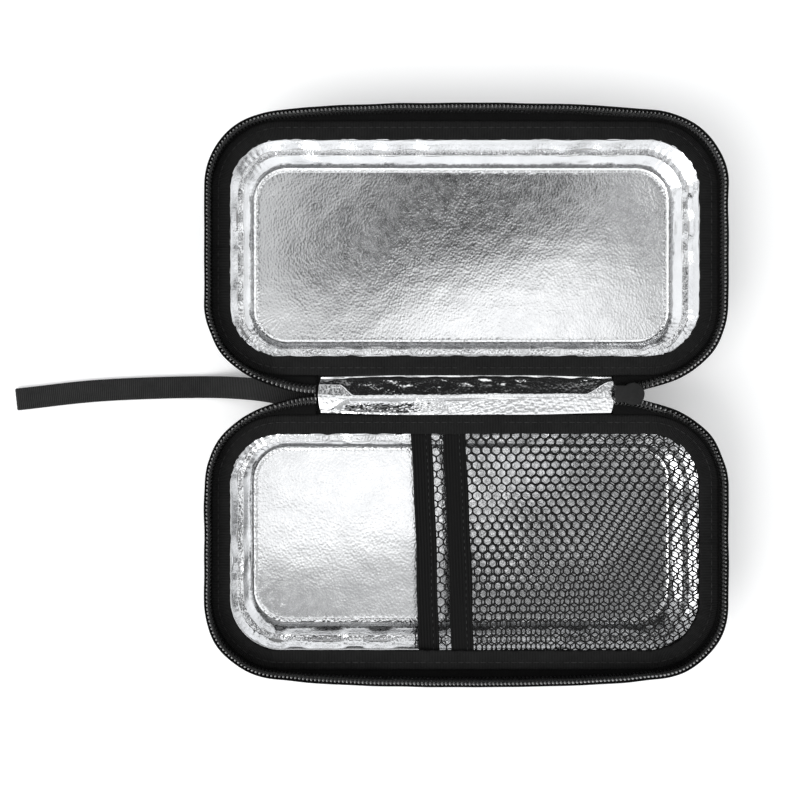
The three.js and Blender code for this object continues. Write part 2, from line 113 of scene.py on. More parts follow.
class Graph:
    """The nodes of a material or a world, wired by short calls that return sockets."""

    def __init__(self, owner, shader):
        owner.use_nodes = True
        self.owner = owner
        self.tree = owner.node_tree
        self.shader = self.tree.nodes[shader]

    @cached_property
    def rest(self):
        return self.attribute("rest")

    @cached_property
    def cloth(self):
        return self.attribute("cloth")

    def node(self, kind, output, settings=(), **inputs):
        """A new node's output socket; inputs are named with underscores, and are sockets or values."""
        made = self.tree.nodes.new(kind)
        for key, value in dict(settings).items():
            setattr(made, key, value)
        for name, value in inputs.items():
            self.feed(made.inputs[name.replace("_", " ")], value)
        return made.outputs[output]

    def feed(self, socket, value):
        if isinstance(value, bpy.types.NodeSocket):
            self.tree.links.new(value, socket)
        else:
            socket.default_value = value

    def attribute(self, name):
        return self.node("ShaderNodeAttribute", "Vector", {"attribute_name": name})

    def axis(self, vector, letter):
        return self.node("ShaderNodeSeparateXYZ", letter, Vector=vector)

    def stretch(self, vector, scale, turn=0.0):
        return self.node("ShaderNodeMapping", "Vector", Vector=vector, Scale=scale, Rotation=(0, 0, turn))

    def noise(self, vector, size, detail=3.0, roughness=0.55, distortion=0.0):
        return self.node("ShaderNodeTexNoise", "Fac", Vector=vector, Scale=1 / (size * MM), Detail=detail,
                         Roughness=roughness, Distortion=distortion)

    def cells(self, vector, size, smoothness=0.6):
        return self.node("ShaderNodeTexVoronoi", "Distance", {"feature": "SMOOTH_F1"}, Vector=vector,
                         Scale=1 / (size * MM), Smoothness=smoothness)

    def wave(self, vector, direction, pitch, distortion):
        return self.node("ShaderNodeTexWave", "Fac", {"bands_direction": direction}, Vector=vector,
                         Scale=2 * math.pi / (20 * pitch * MM), Distortion=distortion, Detail=1.0,
                         Detail_Scale=3.0)

    def math(self, operation, a, b=0.0):
        made = self.tree.nodes.new("ShaderNodeMath")
        made.operation = operation
        self.feed(made.inputs[0], a)
        self.feed(made.inputs[1], b)
        return made.outputs["Value"]

    def blend(self, a, share_a, b, share_b):
        """The sum of two values, each times its share."""
        return self.math("ADD", self.math("MULTIPLY", a, share_a), self.math("MULTIPLY", b, share_b))

    def spread(self, value, low, high):
        return self.node("ShaderNodeMapRange", "Result", Value=value, To_Min=low, To_Max=high)

    def greys(self, value, *stops, between="LINEAR"):
        """A ramp of greys, or of whole colours, over stops of (place, level)."""
        made = self.tree.nodes.new("ShaderNodeValToRGB")
        self.feed(made.inputs["Fac"], value)
        made.color_ramp.interpolation = between
        elements = made.color_ramp.elements
        while len(elements) < len(stops):
            elements.new(0.5)
        for element, (place, level) in zip(elements, stops):
            element.position = place
            element.color = (*(level if isinstance(level, tuple) else (level,) * 3), 1)
        return made.outputs["Color"]

    def bump(self, height, depth, normal=None):
        made = self.tree.nodes.new("ShaderNodeBump")
        made.inputs["Strength"].default_value = 1.0
        made.inputs["Distance"].default_value = depth * MM
        self.feed(made.inputs["Height"], height)
        if normal is not None:
            self.feed(made.inputs["Normal"], normal)
        return made.outputs["Normal"]

    def finish(self, **sockets):
        """Sets the shader's own sockets, named with underscores, and returns the material or world."""
        for name, value in sockets.items():
            self.feed(self.shader.inputs[name.replace("_", " ")], value)
        return self.owner


def material_graph(name):
    return Graph(bpy.data.materials.new(name), "Principled BSDF")


def fabric(name, dark, light, along, across, depth, roughness, sheen):
    """Woven cloth: threads both ways from the cloth attribute, with uneven dye and fluff."""
    g = material_graph(name)
    threads = g.math("MULTIPLY", g.wave(g.cloth, "X", along, 0.6), g.wave(g.cloth, "Y", across, 0.6))
    uneven = g.noise(g.rest, 6.0, 4.0, 0.6)
    fluff = g.noise(g.rest, 0.5)
    return g.finish(
        Base_Color=g.greys(g.blend(threads, 0.45, uneven, 0.6), (0.15, dark), (0.85, light)),
        Roughness=g.spread(uneven, roughness - 0.1, roughness + 0.1),
        Specular_IOR_Level=0.12,
        Sheen_Weight=sheen,
        Sheen_Roughness=0.5,
        Normal=g.bump(g.blend(threads, 1.0, fluff, 0.5), depth),
    )


def ribbed(name, dark, light, pitch, depth, direction="X", roughness=0.75, sheen=0.02, fine=0.35):
    """Ribbed ribbon or elastic: cords in one direction, fine threads over them."""
    g = material_graph(name)
    cords = g.wave(g.cloth, direction, pitch, 0.3)
    threads = g.wave(g.cloth, "Y" if direction == "X" else "X", fine, 0.8)
    uneven = g.noise(g.rest, 4.0, 4.0, 0.6)
    return g.finish(
        Base_Color=g.greys(g.blend(cords, 0.5, uneven, 0.5), (0.15, dark), (0.85, light)),
        Roughness=g.spread(uneven, roughness - 0.12, roughness + 0.1),
        Specular_IOR_Level=0.12,
        Sheen_Weight=sheen,
        Sheen_Roughness=0.45,
        Normal=g.bump(g.blend(cords, 1.0, threads, 0.3), depth),
    )


def foil(name, pebble, depth, roughness):
    """Metallised film: a fine embossed grain, deeper where the film is crinkled, over slow undulations."""
    g = material_graph(name)
    crinkled = g.math("ADD", g.math("MULTIPLY", g.axis(g.cloth, "Z"), 2.0 / MM), 1.0)
    pebbles = g.cells(g.stretch(g.rest, (1.0, 0.72, 1.0), 0.5), pebble)
    grain = g.noise(g.stretch(g.rest, (0.55, 1.0, 1.0), -0.35), pebble * 0.8, 2.0)
    undulations = g.bump(g.noise(g.rest, 9.0, 1.0, 0.4, 0.3), 0.05)
    height = g.math("MULTIPLY", g.blend(pebbles, 1.0, grain, 0.6), crinkled)
    clouds = g.noise(g.rest, 14.0, 3.0)
    return g.finish(
        Base_Color=g.greys(clouds, (0.3, (0.78, 0.785, 0.795)), (0.7, (0.86, 0.865, 0.872))),
        Metallic=1.0,
        Roughness=g.spread(g.noise(g.rest, 3.0, 3.0), roughness - 0.05, roughness + 0.09),
        Normal=g.bump(height, depth, undulations),
    )


def foam(name):
    """Open foam: pores, with a blotchy tone."""
    g = material_graph(name)
    pores = g.cells(g.rest, 0.7, 0.3)
    return g.finish(
        Base_Color=g.greys(g.noise(g.rest, 7.0, 4.0), (0.3, 0.42), (0.7, 0.56)),
        Roughness=g.spread(pores, 0.8, 0.98),
        Normal=g.bump(pores, 0.25),
    )


def yarn(name, dark, light, roughness, streak_depth):
    """Drawn nylon: smooth and faintly streaked, with an uneven tone."""
    g = material_graph(name)
    streaks = g.noise(g.stretch(g.rest, (1.0, 3.0, 1.0)), 1.2, 3.0)
    return g.finish(
        Base_Color=g.greys(g.noise(g.rest, 5.0, 4.0), (0.3, dark), (0.7, light)),
        Roughness=g.spread(streaks, roughness - 0.08, roughness + 0.12),
        Specular_IOR_Level=0.3,
        Normal=g.bump(streaks, streak_depth),
    )


def coil_nylon(name):
    """Black drawn nylon, with a painted highlight: its colour is light grey along the loops' outer top, where
    the first cloth coordinate is 1.
    """
    g = material_graph(name)
    uneven = g.spread(g.noise(g.rest, 1.7, 2.0), -0.05, 0.05)
    # Painted highlight: the base colour goes from black to light grey where the loops' outer top would catch
    # the light
    painted_highlight = g.math("ADD", g.math("MULTIPLY", g.axis(g.cloth, "X"), 1 / MM), uneven)
    streaks = g.noise(g.stretch(g.rest, (1.0, 3.0, 1.0)), 1.2, 3.0)
    return g.finish(
        Base_Color=g.greys(painted_highlight, (0.72, 0.006), (0.92, 0.62)),
        Roughness=g.spread(streaks, 0.2, 0.38),
        Specular_IOR_Level=0.6,
        Normal=g.bump(streaks, 0.02),
    )


def painted_metal(name):
    """Black paint on metal, a little lighter and rougher where it is worn."""
    g = material_graph(name)
    grain = g.noise(g.rest, 0.35, 3.0, 0.7)
    wear = g.noise(g.rest, 2.2, 5.0, 0.65)
    return g.finish(
        Base_Color=g.greys(wear, (0.35, 0.010), (0.6, 0.014), (0.8, 0.022)),
        Metallic=0.1,
        Roughness=g.spread(wear, 0.4, 0.6),
        Specular_IOR_Level=0.22,
        Normal=g.bump(grain, 0.02),
    )


COVER = fabric("cover_fabric", 0.008, 0.040, along=0.75, across=0.75, depth=0.22, roughness=0.82, sheen=0.05)
TAPE = fabric("zipper_tape", 0.002, 0.007, along=0.6, across=0.45, depth=0.1, roughness=0.85, sheen=0.01)
RIBBON = ribbed("binding_ribbon", 0.003, 0.021, pitch=0.6, depth=0.16)
ELASTIC = ribbed("elastic", 0.0025, 0.0085, 1.15, 0.1, direction="Y", roughness=0.8, sheen=0.01, fine=0.3)
WEBBING = ribbed("strap_webbing", 0.006, 0.034, 0.8, 0.16, roughness=0.55, sheen=0.1, fine=0.4)
FOIL = foil("embossed_foil", pebble=0.85, depth=0.026, roughness=0.12)
HINGE_FOIL = foil("hinge_foil", pebble=0.9, depth=0.05, roughness=0.08)
INSULATION = foam("insulation_foam")
THREAD = yarn("sewing_thread", 0.006, 0.030, roughness=0.6, streak_depth=0.02)
NET = yarn("net_yarn", 0.003, 0.008, roughness=0.65, streak_depth=0.06)
COIL = coil_nylon("coil_nylon")
METAL = painted_metal("slider_paint")


# Mesh helpers

UP = np.array([0.0, 0.0, 1.0])


def smooth(t):
    t = np.clip(t, 0, 1)
    return t * t * (3 - 2 * t)


def hump(values, middle, width):
    """1 where the values are at the middle, and falling to 0 on both sides."""
    return np.exp(-((values - middle) / width) ** 2)


def unit(vectors):
    return vectors / (np.linalg.norm(vectors, axis=-1, keepdims=True) + 1e-9)


def lengths(line):
    """How far along a line each of its points is."""
    steps = np.linalg.norm(np.diff(np.asarray(line), axis=0), axis=1)
    return np.concatenate([[0], np.cumsum(steps)])


def at_height(plan, z):
    """Points of a plan, at one height or at a height each."""
    return np.concatenate([plan, np.broadcast_to(z, len(plan))[:, None]], 1)


def ripple(points, length, seed, count=8):
    """Seeded smooth noise of about unit size: plane waves over the points' columns."""
    points = np.asarray(points, float)
    if points.ndim == 1:
        points = points[:, None]
    draw = np.random.default_rng(seed)
    total = np.zeros(len(points))
    for _ in range(count):
        way = draw.normal(size=points.shape[1])
        way /= np.linalg.norm(way)
        turn = 2 * np.pi / (length * draw.uniform(0.7, 1.5))
        total += np.sin(points @ way * turn + draw.uniform(0, 2 * np.pi))
    return total / math.sqrt(count / 2)


def soften(corners, steps=6):
    """A polyline of (x, y, cut) with each corner rounded off from cut before it to cut after it."""
    points = []
    for i, (x, y, cut) in enumerate(corners):
        here = np.array([x, y])
        if i in (0, len(corners) - 1) or cut == 0:
            points.append(here)
            continue
        before = np.array(corners[i - 1][:2]) - here
        after = np.array(corners[i + 1][:2]) - here
        start, end = here + unit(before) * cut, here + unit(after) * cut
        for t in np.linspace(0, 1, steps + 1):
            points.append((1 - t) ** 2 * start + 2 * t * (1 - t) * here + t * t * end)
    return np.array(points)


def resample(line, spacing):
    """The polyline again, with even steps of about the spacing."""
    at = lengths(line)
    wanted = np.linspace(0, at[-1], max(2, int(round(at[-1] / spacing)) + 1))
    return np.stack([np.interp(wanted, at, column) for column in line.T], 1)


def subdivide(line, spacing, guard=0.12):
    """The polyline with its corners kept, its long steps split up, and a guard point next to each corner."""
    points = [line[0]]
    for start, end in zip(line[:-1], line[1:]):
        length = np.linalg.norm(end - start)
        if length > 3 * guard:
            count = max(2, int(round((length - 2 * guard) / spacing)) + 1)
            way = (end - start) / length
            points.extend(start + way * t for t in np.linspace(guard, length - guard, count))
        points.append(end)
    return np.array(points)


def grid_quads(rows, columns, wrap_rows=False, wrap_columns=False):
    """Faces over a grid of points in row order."""
    row = np.arange(rows if wrap_rows else rows - 1)
    column = np.arange(columns if wrap_columns else columns - 1)
    row, column = np.meshgrid(row, column, indexing="ij")
    next_row, next_column = (row + 1) % rows * columns, (column + 1) % columns
    row = row * columns
    quads = np.stack([row + column, row + next_column, next_row + next_column, next_row + column], -1)
    return quads.reshape(-1, 4)


def capped_tube(rings, sides):
    """Faces of a tube of rings, with one face over each end."""
    faces = grid_quads(rings, sides, wrap_columns=True).tolist()
    faces.append(list(range(sides))[::-1])
    faces.append(list(range((rings - 1) * sides, rings * sides)))
    return faces


def folded_band(rows, around):
    """Faces of a band whose section goes out and comes back beside itself, with quads over each end."""
    faces = grid_quads(rows, around, wrap_columns=True).tolist()
    for first in (0, (rows - 1) * around):
        for k in range(around // 2 - 1):
            back = first + around - 1 - k
            faces.append([first + k, first + k + 1, back - 1, back])
    return faces


def to_lid(points):
    """The lid is the base half turned round about the hinge's centre."""
    return points * np.array([-1, -1, 1]) + np.array([0, 2 * SPINE_Y, 0])


def join_parts(parts):
    """Several (points, faces, cloth) as one."""
    points, faces, cloth, count = [], [], [], 0
    for more_points, more_faces, more_cloth in parts:
        points.append(more_points)
        faces.extend((np.asarray(face) + count).tolist() for face in more_faces)
        cloth.append(more_cloth)
        count += len(more_points)
    return np.concatenate(points), faces, np.concatenate(cloth)


def mesh_object(name, shape, material, merge=0.0, sharp=None):
    """An object in metres from (points, faces, cloth), which keeps its rest place and its cloth coordinates
    as attributes for the materials. Points nearer than merge are joined; edges over sharp degrees stay."""
    points, faces, cloth = shape
    if cloth.shape[1] == 2:
        cloth = at_height(cloth, 0.0)
    mesh = bpy.data.meshes.new(name)
    mesh.from_pydata((points * MM).tolist(), [], [list(map(int, face)) for face in faces])
    mesh.update()
    for attribute, values in (("rest", points), ("cloth", cloth)):
        made = mesh.attributes.new(attribute, "FLOAT_VECTOR", "POINT")
        made.data.foreach_set("vector", (values * MM).astype(np.float32).ravel())
    body = bmesh.new()
    body.from_mesh(mesh)
    if merge:
        bmesh.ops.remove_doubles(body, verts=body.verts, dist=merge * MM)
    bmesh.ops.recalc_face_normals(body, faces=body.faces)
    body.to_mesh(mesh)
    body.free()
    mesh.polygons.foreach_set("use_smooth", [True] * len(mesh.polygons))
    if sharp is not None:
        mesh.set_sharp_from_angle(angle=math.radians(sharp))
    mesh.materials.append(material)
    made = bpy.data.objects.new(name, mesh)
    bpy.context.scene.collection.objects.link(made)
    return made


def add(name, shape, material, slot, carrier, stands_for=None, **settings):
    """A piece of the case, attached to its carrier body. A carrier of two bodies with a blend's start and end
    is not attached: the piece is only fixed in place.
    """
    made = mesh_object(name, shape, material, **settings)
    if isinstance(carrier, str):
        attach(made, carrier)
    else:
        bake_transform(made)
    if stands_for:
        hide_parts(stands_for)
    return made


# The outline of a half, and what is carried round it

def inside_outline(x, y, offset):
    """Whether points lie inside the outline grown by an offset."""
    over_x, over_y = np.abs(x) - CENTRE_X, np.abs(y) - CENTRE_Y
    return np.hypot(np.maximum(over_x, 0), np.maximum(over_y, 0)) < CORNER + offset


def floor_points(spacing):
    """Points in staggered rows over the floor inside its edge."""
    reach_x, reach_y = HALF_LENGTH + FLOOR_EDGE, HALF_WIDTH + FLOOR_EDGE
    rows = []
    for number, y in enumerate(np.arange(-reach_y, reach_y, spacing * 0.87)):
        x = np.arange(-reach_x + (number % 2) * spacing / 2, reach_x, spacing)
        rows.append(np.stack([x, np.full_like(x, y)], 1))
    points = np.concatenate(rows)
    return points[inside_outline(points[:, 0], points[:, 1], FLOOR_EDGE - 0.6 * spacing)]


class Outline:
    """Stations round the rounded rectangle, from the middle of the right side, anticlockwise. Each has a
    centre and an outward direction, and at says how far round it is."""

    def __init__(self, spacing):
        half_side = max(4, int(round(CENTRE_Y / spacing)))
        long_side = max(8, int(round(2 * CENTRE_X / spacing)))
        arc = np.arange(max(6, int(round((CORNER + 4) * math.pi / 2 / spacing))))
        x, y = CENTRE_X, CENTRE_Y
        sides = [
            ((x, 0), (x, y), (1, 0), half_side),
            ((x, y), (-x, y), (0, 1), long_side),
            ((-x, y), (-x, -y), (-1, 0), 2 * half_side),
            ((-x, -y), (x, -y), (0, -1), long_side),
            ((x, -y), (x, 0), (1, 0), half_side),
        ]
        centres, outward = [], []
        for number, (start, end, direction, count) in enumerate(sides):
            share = np.arange(count)[:, None] / count
            centres.append(np.array(start) + (np.array(end) - np.array(start)) * share)
            outward.append(np.tile(direction, (count, 1)))
            if number < 4:
                angle = (number + arc / len(arc)) * math.pi / 2
                centres.append(np.tile(end, (len(arc), 1)))
                outward.append(np.stack([np.cos(angle), np.sin(angle)], 1))
        self.centres = np.concatenate(centres).astype(float)
        self.outward = np.concatenate(outward).astype(float)
        self.count = len(self.centres)
        line = self.ring(RIM_WIDTH / 2)
        along = lengths(np.concatenate([line, line[:1]]))
        self.at, self.length = along[:-1], along[-1]
        self.corner = smooth(np.abs(self.outward).min(axis=1) / 0.25)

    def ring(self, offset):
        """The outline grown by an offset, or shrunk to a box and on to a line."""
        shrink = np.minimum(1, [(HALF_LENGTH + offset) / CENTRE_X, (HALF_WIDTH + offset) / CENTRE_Y])
        return self.centres * shrink + self.outward * max(CORNER + offset, 0)

    def sweep(self, profile, spacing=None):
        """A profile of (offset, z) carried round: points, their outward directions, faces, offsets, places
        and cloth. The profile closes on itself, or where a spacing is given it starts and ends at a floor's
        edge, and each floor is meshed with points at that spacing."""
        n = self.count
        step = np.gradient(profile, axis=0)
        normal = unit(np.stack([-step[:, 1], step[:, 0]], 1))
        normal *= np.sign(normal[:, 1] - normal[:, 0])[:, None]
        points = np.concatenate([at_height(self.ring(offset), z) for offset, z in profile])
        lifts = np.concatenate([at_height(self.outward * out, up) for out, up in normal])
        offsets, places = np.repeat(profile[:, 0], n), np.tile(self.at, len(profile))
        faces = grid_quads(len(profile), n, spacing is None, True).tolist()
        along = lengths(profile)
        if spacing is None:
            return points, lifts, faces, offsets, places, np.stack([places, np.repeat(along, n)], 1)
        # The cloth lies flat on the floor, and is drawn up straight from the floor's edge
        cloth = np.concatenate([points[:n, :2] + self.outward * min(a, along[-1] - a) for a in along])
        floor = floor_points(spacing)
        for row in (0, len(profile) - 1):
            plan = np.concatenate([points[row * n:(row + 1) * n, :2], floor])
            edges = [(k, (k + 1) % n) for k in range(n)]
            found = delaunay_2d_cdt([Vector(p) for p in plan.tolist()], edges, [], 1, 1e-6)
            source = [numbers[0] for numbers in found[3]]
            numbers = [row * n + k if k < n else len(points) + k - n for k in source]
            faces.extend([numbers[k] for k in face] for face in found[2])
            points = np.concatenate([points, at_height(floor, profile[row, 1])])
            lifts = np.concatenate([lifts, np.tile(UP, (len(floor), 1))])
            offsets = np.concatenate([offsets, np.full(len(floor), FLOOR_EDGE)])
            places = np.concatenate([places, np.zeros(len(floor))])
            cloth = np.concatenate([cloth, floor])
        return points, lifts, faces, offsets, places, cloth


# Trays

# Layers of a tray less deep than this are the film, and deeper ones the foam and the cover
FILM_DEPTH = 0.4


def tray_corners(depth, top):
    """The tray's wall at a depth outside the foil's face, from the rim to the floor's edge."""
    if depth < FILM_DEPTH:
        # The film itself spans the wall's step nearly level, and is drawn off the floor's edge
        foot, cut = depth - 5.6, 2.0 + depth
        ledge = [(depth - 1.0, 14.6 - depth, 0.10), (depth - 3.35, 14.56 - depth, 0.12)]
    else:
        foot, cut = depth - 3.8, 1.9 + depth
        ledge = [(depth - 1.6, 15.0, 0.4), (depth - 3.0, 14.0, 0.4)]
    floor = WALL - depth
    return [(depth, top, 0)] + ledge + [(foot, floor, cut), (FLOOR_EDGE, floor, 0)]


def foil_tray(top, seed):
    """The film that lines a tray. It bulges between the places where it is glued, most along the walls' top,
    is pleated at the corners, and is crinkled along the floor's edge."""
    under_ribbon = 3.3
    outline = Outline(0.8)
    upper, lower = top - 0.2, top - 0.5
    face = [(under_ribbon, upper, 0), (0.1, upper, 0.5)] + tray_corners(0, upper)[1:]
    back = [(under_ribbon, lower, 0), (0.4, lower, 0.4)] + tray_corners(0.35, lower)[1:]
    profile = np.concatenate([resample(soften(back), 1.2)[::-1], subdivide(soften(face, 4), 0.7)])
    flat, lift, faces, offsets, places, cloth = outline.sweep(profile, 1.0)
    height = flat[:, 2]
    corner = np.interp(places, outline.at, outline.corner) * (offsets > FLOOR_EDGE)
    on_wall = smooth((height - 7) / 4) * smooth((top + 0.3 - height) / 2.5)
    on_foot = smooth((9.5 - height) / 2) * smooth((offsets + 8.5) / 2)
    bulges = np.clip(ripple(places, 17, seed + 2, 6), -1.6, 1.6)
    pleats = np.abs(ripple(places, 5.5, seed + 3, 5)) * corner
    crinkles = ripple(np.stack([places, height * 0.6], 1), 2.3, seed + 4, 12)
    push = ripple(flat, 40, seed, 9) * 0.05 + ripple(flat, 10, seed + 1, 12) * 0.007
    push += on_wall * (0.22 * bulges - 0.16 * pleats) + 0.024 * crinkles * (on_foot + 0.3 * corner)
    free = smooth((3.0 - offsets) / 2.5)
    # The third cloth coordinate deepens the foil's grain, on the step and along the floor's edge
    crinkled = np.maximum(hump(height, 14.6, 0.5), 1.8 * hump(offsets, -6.4, 1.1) * (height < 6.5))
    return flat + lift * (push * free)[:, None], faces, at_height(cloth, crinkled)


def cover_shell():
    """The outer fabric of a half: a shell with a flange under the rim, uneven by a tenth of a millimetre."""
    edge = RIM_WIDTH - 0.1
    outer = [(edge, FLANGE_BOTTOM, 0), (WALL + 0.1, FLANGE_BOTTOM, 0.9)]
    inner = [(edge, FLANGE_TOP, 0), (WALL - 0.8, FLANGE_TOP, 0.5)]
    outer += tray_corners(WALL, FLANGE_BOTTOM)[1:]
    inner += tray_corners(WALL - 0.9, FLANGE_TOP)[1:]
    profile = np.concatenate([resample(soften(outer), 1.1)[::-1], resample(soften(inner), 2.4)])
    flat, lift, faces, _, _, cloth = Outline(1.2).sweep(profile, 3.0)
    free = smooth((flat[:, 2] - 1.5) / 5) * smooth((21.0 - flat[:, 2]) / 4)
    return flat + lift * (ripple(flat, 46, 41, 8) * 0.09 * free)[:, None], faces, cloth


def foam_tray(top):
    """The insulation between a half's cover and its foil."""
    outer, inner = (resample(soften(tray_corners(depth, top)), 2.0) for depth in (3.4, 1.35))
    points, _, faces, _, _, cloth = Outline(3.0).sweep(np.concatenate([outer[::-1], inner]), 4.0)
    return points, faces, cloth


def binding(seed, seam_at):
    """The folded ribbon on the rim: a flat band on top, turned down round the rim's edge, with a lap."""
    outline = Outline(0.5)
    section = soften([
        (3.8, 25.1, 0), (0.0, 25.15, 0.3), (-0.1, 26.0, 0.35), (3.5, 26.12, 1.5), (7.25, 25.95, 0.8),
        (7.5, 24.4, 0.5), (7.4, 23.45, 0.3), (3.8, 23.5, 0),
    ], 4)
    section = np.concatenate([resample(section, 0.45), [[3.8, 24.3]]])
    points, _, faces, _, _, cloth = outline.sweep(section)
    at, length = outline.at, outline.length
    # Noise round the ribbon is taken from a circle of its length, so that it meets itself
    angle = 2 * np.pi * at / length
    circle = np.stack([np.cos(angle), np.sin(angle)], 1) * length / (2 * np.pi)
    edge_wave = ripple(circle, 11, seed, 8) * 0.16 + ripple(circle, 3.4, seed + 1, 8) * 0.10
    pleat = ripple(circle, 2.6, seed + 2, 7)
    pleat = np.sign(pleat) * np.abs(pleat) ** 0.6 * outline.corner
    puff = ripple(circle, 14, seed + 3, 7) * 0.08
    # Where the ribbon is gathered at a corner its edge runs in short straight steps
    steps = (at / 5.3 + 0.25 * np.sin(at / 9.1)) % 1.0
    gather = (steps - smooth((steps - 0.9) / 0.1) - 0.4) * outline.corner
    from_seam = np.abs((at - seam_at + length / 2) % length - length / 2)
    lap = smooth((4.2 - from_seam) / 0.35) * 0.35
    offset, z = section.T
    top = smooth((z - 25.0) / 0.8)
    inner_share = smooth((3.0 - offset) / 3.0) * top
    middle_share = hump(offset, 2.6, 2.4) * top
    shift = np.outer(inner_share, 0.8 * edge_wave + 0.08 * pleat + 0.7 * gather)
    rise = np.outer(middle_share, puff + 0.13 * pleat) + np.outer(top, lap)
    points = points.reshape(len(section), outline.count, 3)
    points[:, :, :2] += shift[:, :, None] * outline.outward
    points[:, :, 2] += rise
    return points.reshape(-1, 3), faces, cloth


def stitches(line, pitch, length, radius=0.2):
    """Short threads end to end along a line of points, half sunk in the cloth under them."""
    rings, sides, sink = 5, 6, 0.35
    at = lengths(line)
    angles = np.arange(sides) * 2 * np.pi / sides
    swell = radius * np.sin(np.linspace(0.12, 1, rings) * np.pi * 0.94) ** 0.5
    dip = -sink * radius * np.linspace(-1, 1, rings) ** 2
    parts = []
    for start in np.arange(pitch / 2, at[-1] - length, pitch):
        where = start + np.linspace(0, length, rings)
        centre = np.stack([np.interp(where, at, column) for column in line.T], 1)
        side = unit(np.cross(UP, unit(centre[-1] - centre[0])))
        rise = dip[:, None] + np.outer(swell, np.sin(angles))
        points = centre[:, None] + UP * rise[..., None] + side * np.outer(swell, np.cos(angles))[..., None]
        points = points.reshape(-1, 3)
        parts.append((points, capped_tube(rings, sides), points))
    return join_parts(parts)


# Zipper

# Where a tape lies flat beside the hinge, and where it has come up to its full height, along X
FREE_RAMP = (58.0, 80.0)
SLIDER_RAMP = (68.5, 79.0)


def tape_path(ramp_right, ramp_left, seed):
    """Stations of a zipper half from its right end round the three open sides to its left end, with the
    tape's lean outward and its height at each. The tape leans out 0.8 mm, more on the far side, and beside
    the hinge it lies down until its coil meets the other half's."""
    radius = CORNER + TAPE_OFFSET
    x, y = CENTRE_X, CENTRE_Y
    # Stretches: their part, the centre and the outward angle at their start and end, and their steps
    stretches = [
        ("end", (TAPE_END_X, y), (x, y), 90, 90, 14),
        ("end", (x, y), (x, y), 90, 60, 15),
        ("side", (x, y), (x, y), 60, 0, 30),
        ("side", (x, y), (x, -y), 0, 0, 44),
        ("side", (x, -y), (x, -y), 0, -90, 45),
        ("far", (x, -y), (-x, -y), -90, -90, 140),
        ("side", (-x, -y), (-x, -y), -90, -180, 45),
        ("side", (-x, -y), (-x, y), -180, -180, 44),
        ("side", (-x, y), (-x, y), -180, -240, 30),
        ("end", (-x, y), (-x, y), -240, -270, 15),
        ("end", (-x, y), (-TAPE_END_X, y), -270, -270, 14),
        ("end", (-TAPE_END_X, y), (-TAPE_END_X, y), -270, -270, 1),
    ]
    part = np.concatenate([[name] * count for name, *_, count in stretches])
    centre_x, centre_y, angle = (np.concatenate(rows) for rows in zip(*(
        np.linspace([*start, first], [*end, last], count, endpoint=False).T
        for _, start, end, first, last, count in stretches
    )))
    angle = np.radians(angle)
    nx, ny = np.cos(angle), np.sin(angle)
    x, y = centre_x + radius * nx, centre_y + radius * ny
    at = lengths(np.stack([x, y], 1))
    tilt = np.full(len(x), math.asin(0.8 / TAPE_HEIGHT))
    far = part == "far"
    from_middle = np.clip(x[far] / CENTRE_X, -1, 1)
    tilt[far] = np.arcsin((0.8 + 3.85 * (1 - from_middle ** 2) ** 0.6) / TAPE_HEIGHT)
    tilt = np.mean([np.interp(at + shift, at, tilt) for shift in np.linspace(-9, 9, 19)], axis=0)
    height = np.full(len(x), TAPE_HEIGHT)
    wobble = ripple(at, 23, seed, 6) * math.radians(0.7)
    for sign, (flat_to, full_from) in ((1, ramp_right), (-1, ramp_left)):
        near = (y > 0) & (x * sign > 0)
        along = np.abs(x[near])
        # The two halves' tapes part in a slow curve from the hinge's end on
        parting = 0.35 + 0.0123 * (along - TAPE_END_X) ** 2
        away = smooth((along - 82) / 14)
        reach = (SPINE_Y - parting - y[near]) / np.maximum(ny[near], 0.2) * (1 - away) + 0.8 * away
        lean = np.arcsin(np.clip(reach / TAPE_HEIGHT, 0.1, 0.97))
        lean += (math.radians(86) - lean) * smooth((full_from - along) / (full_from - flat_to))
        height[near] = np.minimum(TAPE_HEIGHT, reach / np.sin(lean))
        tilt[near] = lean
        wobble[near] *= away
    return {"x": x, "y": y, "nx": nx, "ny": ny, "tilt": tilt + wobble, "height": height, "at": at,
            "end": part == "end"}


def read_path(path, at, *keys):
    return [np.interp(at, path["at"], path[key]) for key in keys]


def on_tape(path, at, along, across):
    """Points on the leaning tape, with along, across and the place on the path as arrays of one shape."""
    x, y, nx, ny, tilt = read_path(path, at, "x", "y", "nx", "ny", "tilt")
    out = (along * np.sin(tilt) + across * np.cos(tilt)) / np.hypot(nx, ny)
    up = along * np.cos(tilt) - across * np.sin(tilt)
    return np.stack([x + nx * out, y + ny * out, RIM_Z + up], -1)


def coil_middle(path, at):
    """How far up the tape the coil's middle is: near the edge, and under the height where the halves meet."""
    tilt, height = read_path(path, at, "tilt", "height")
    reach = COIL_GAP + COIL_THICKNESS
    meeting = (TAPE_HEIGHT - COIL_SETBACK - reach * np.sin(tilt)) / np.cos(tilt)
    return np.minimum(height - COIL_SETBACK, meeting) - COIL_DEPTH / 2


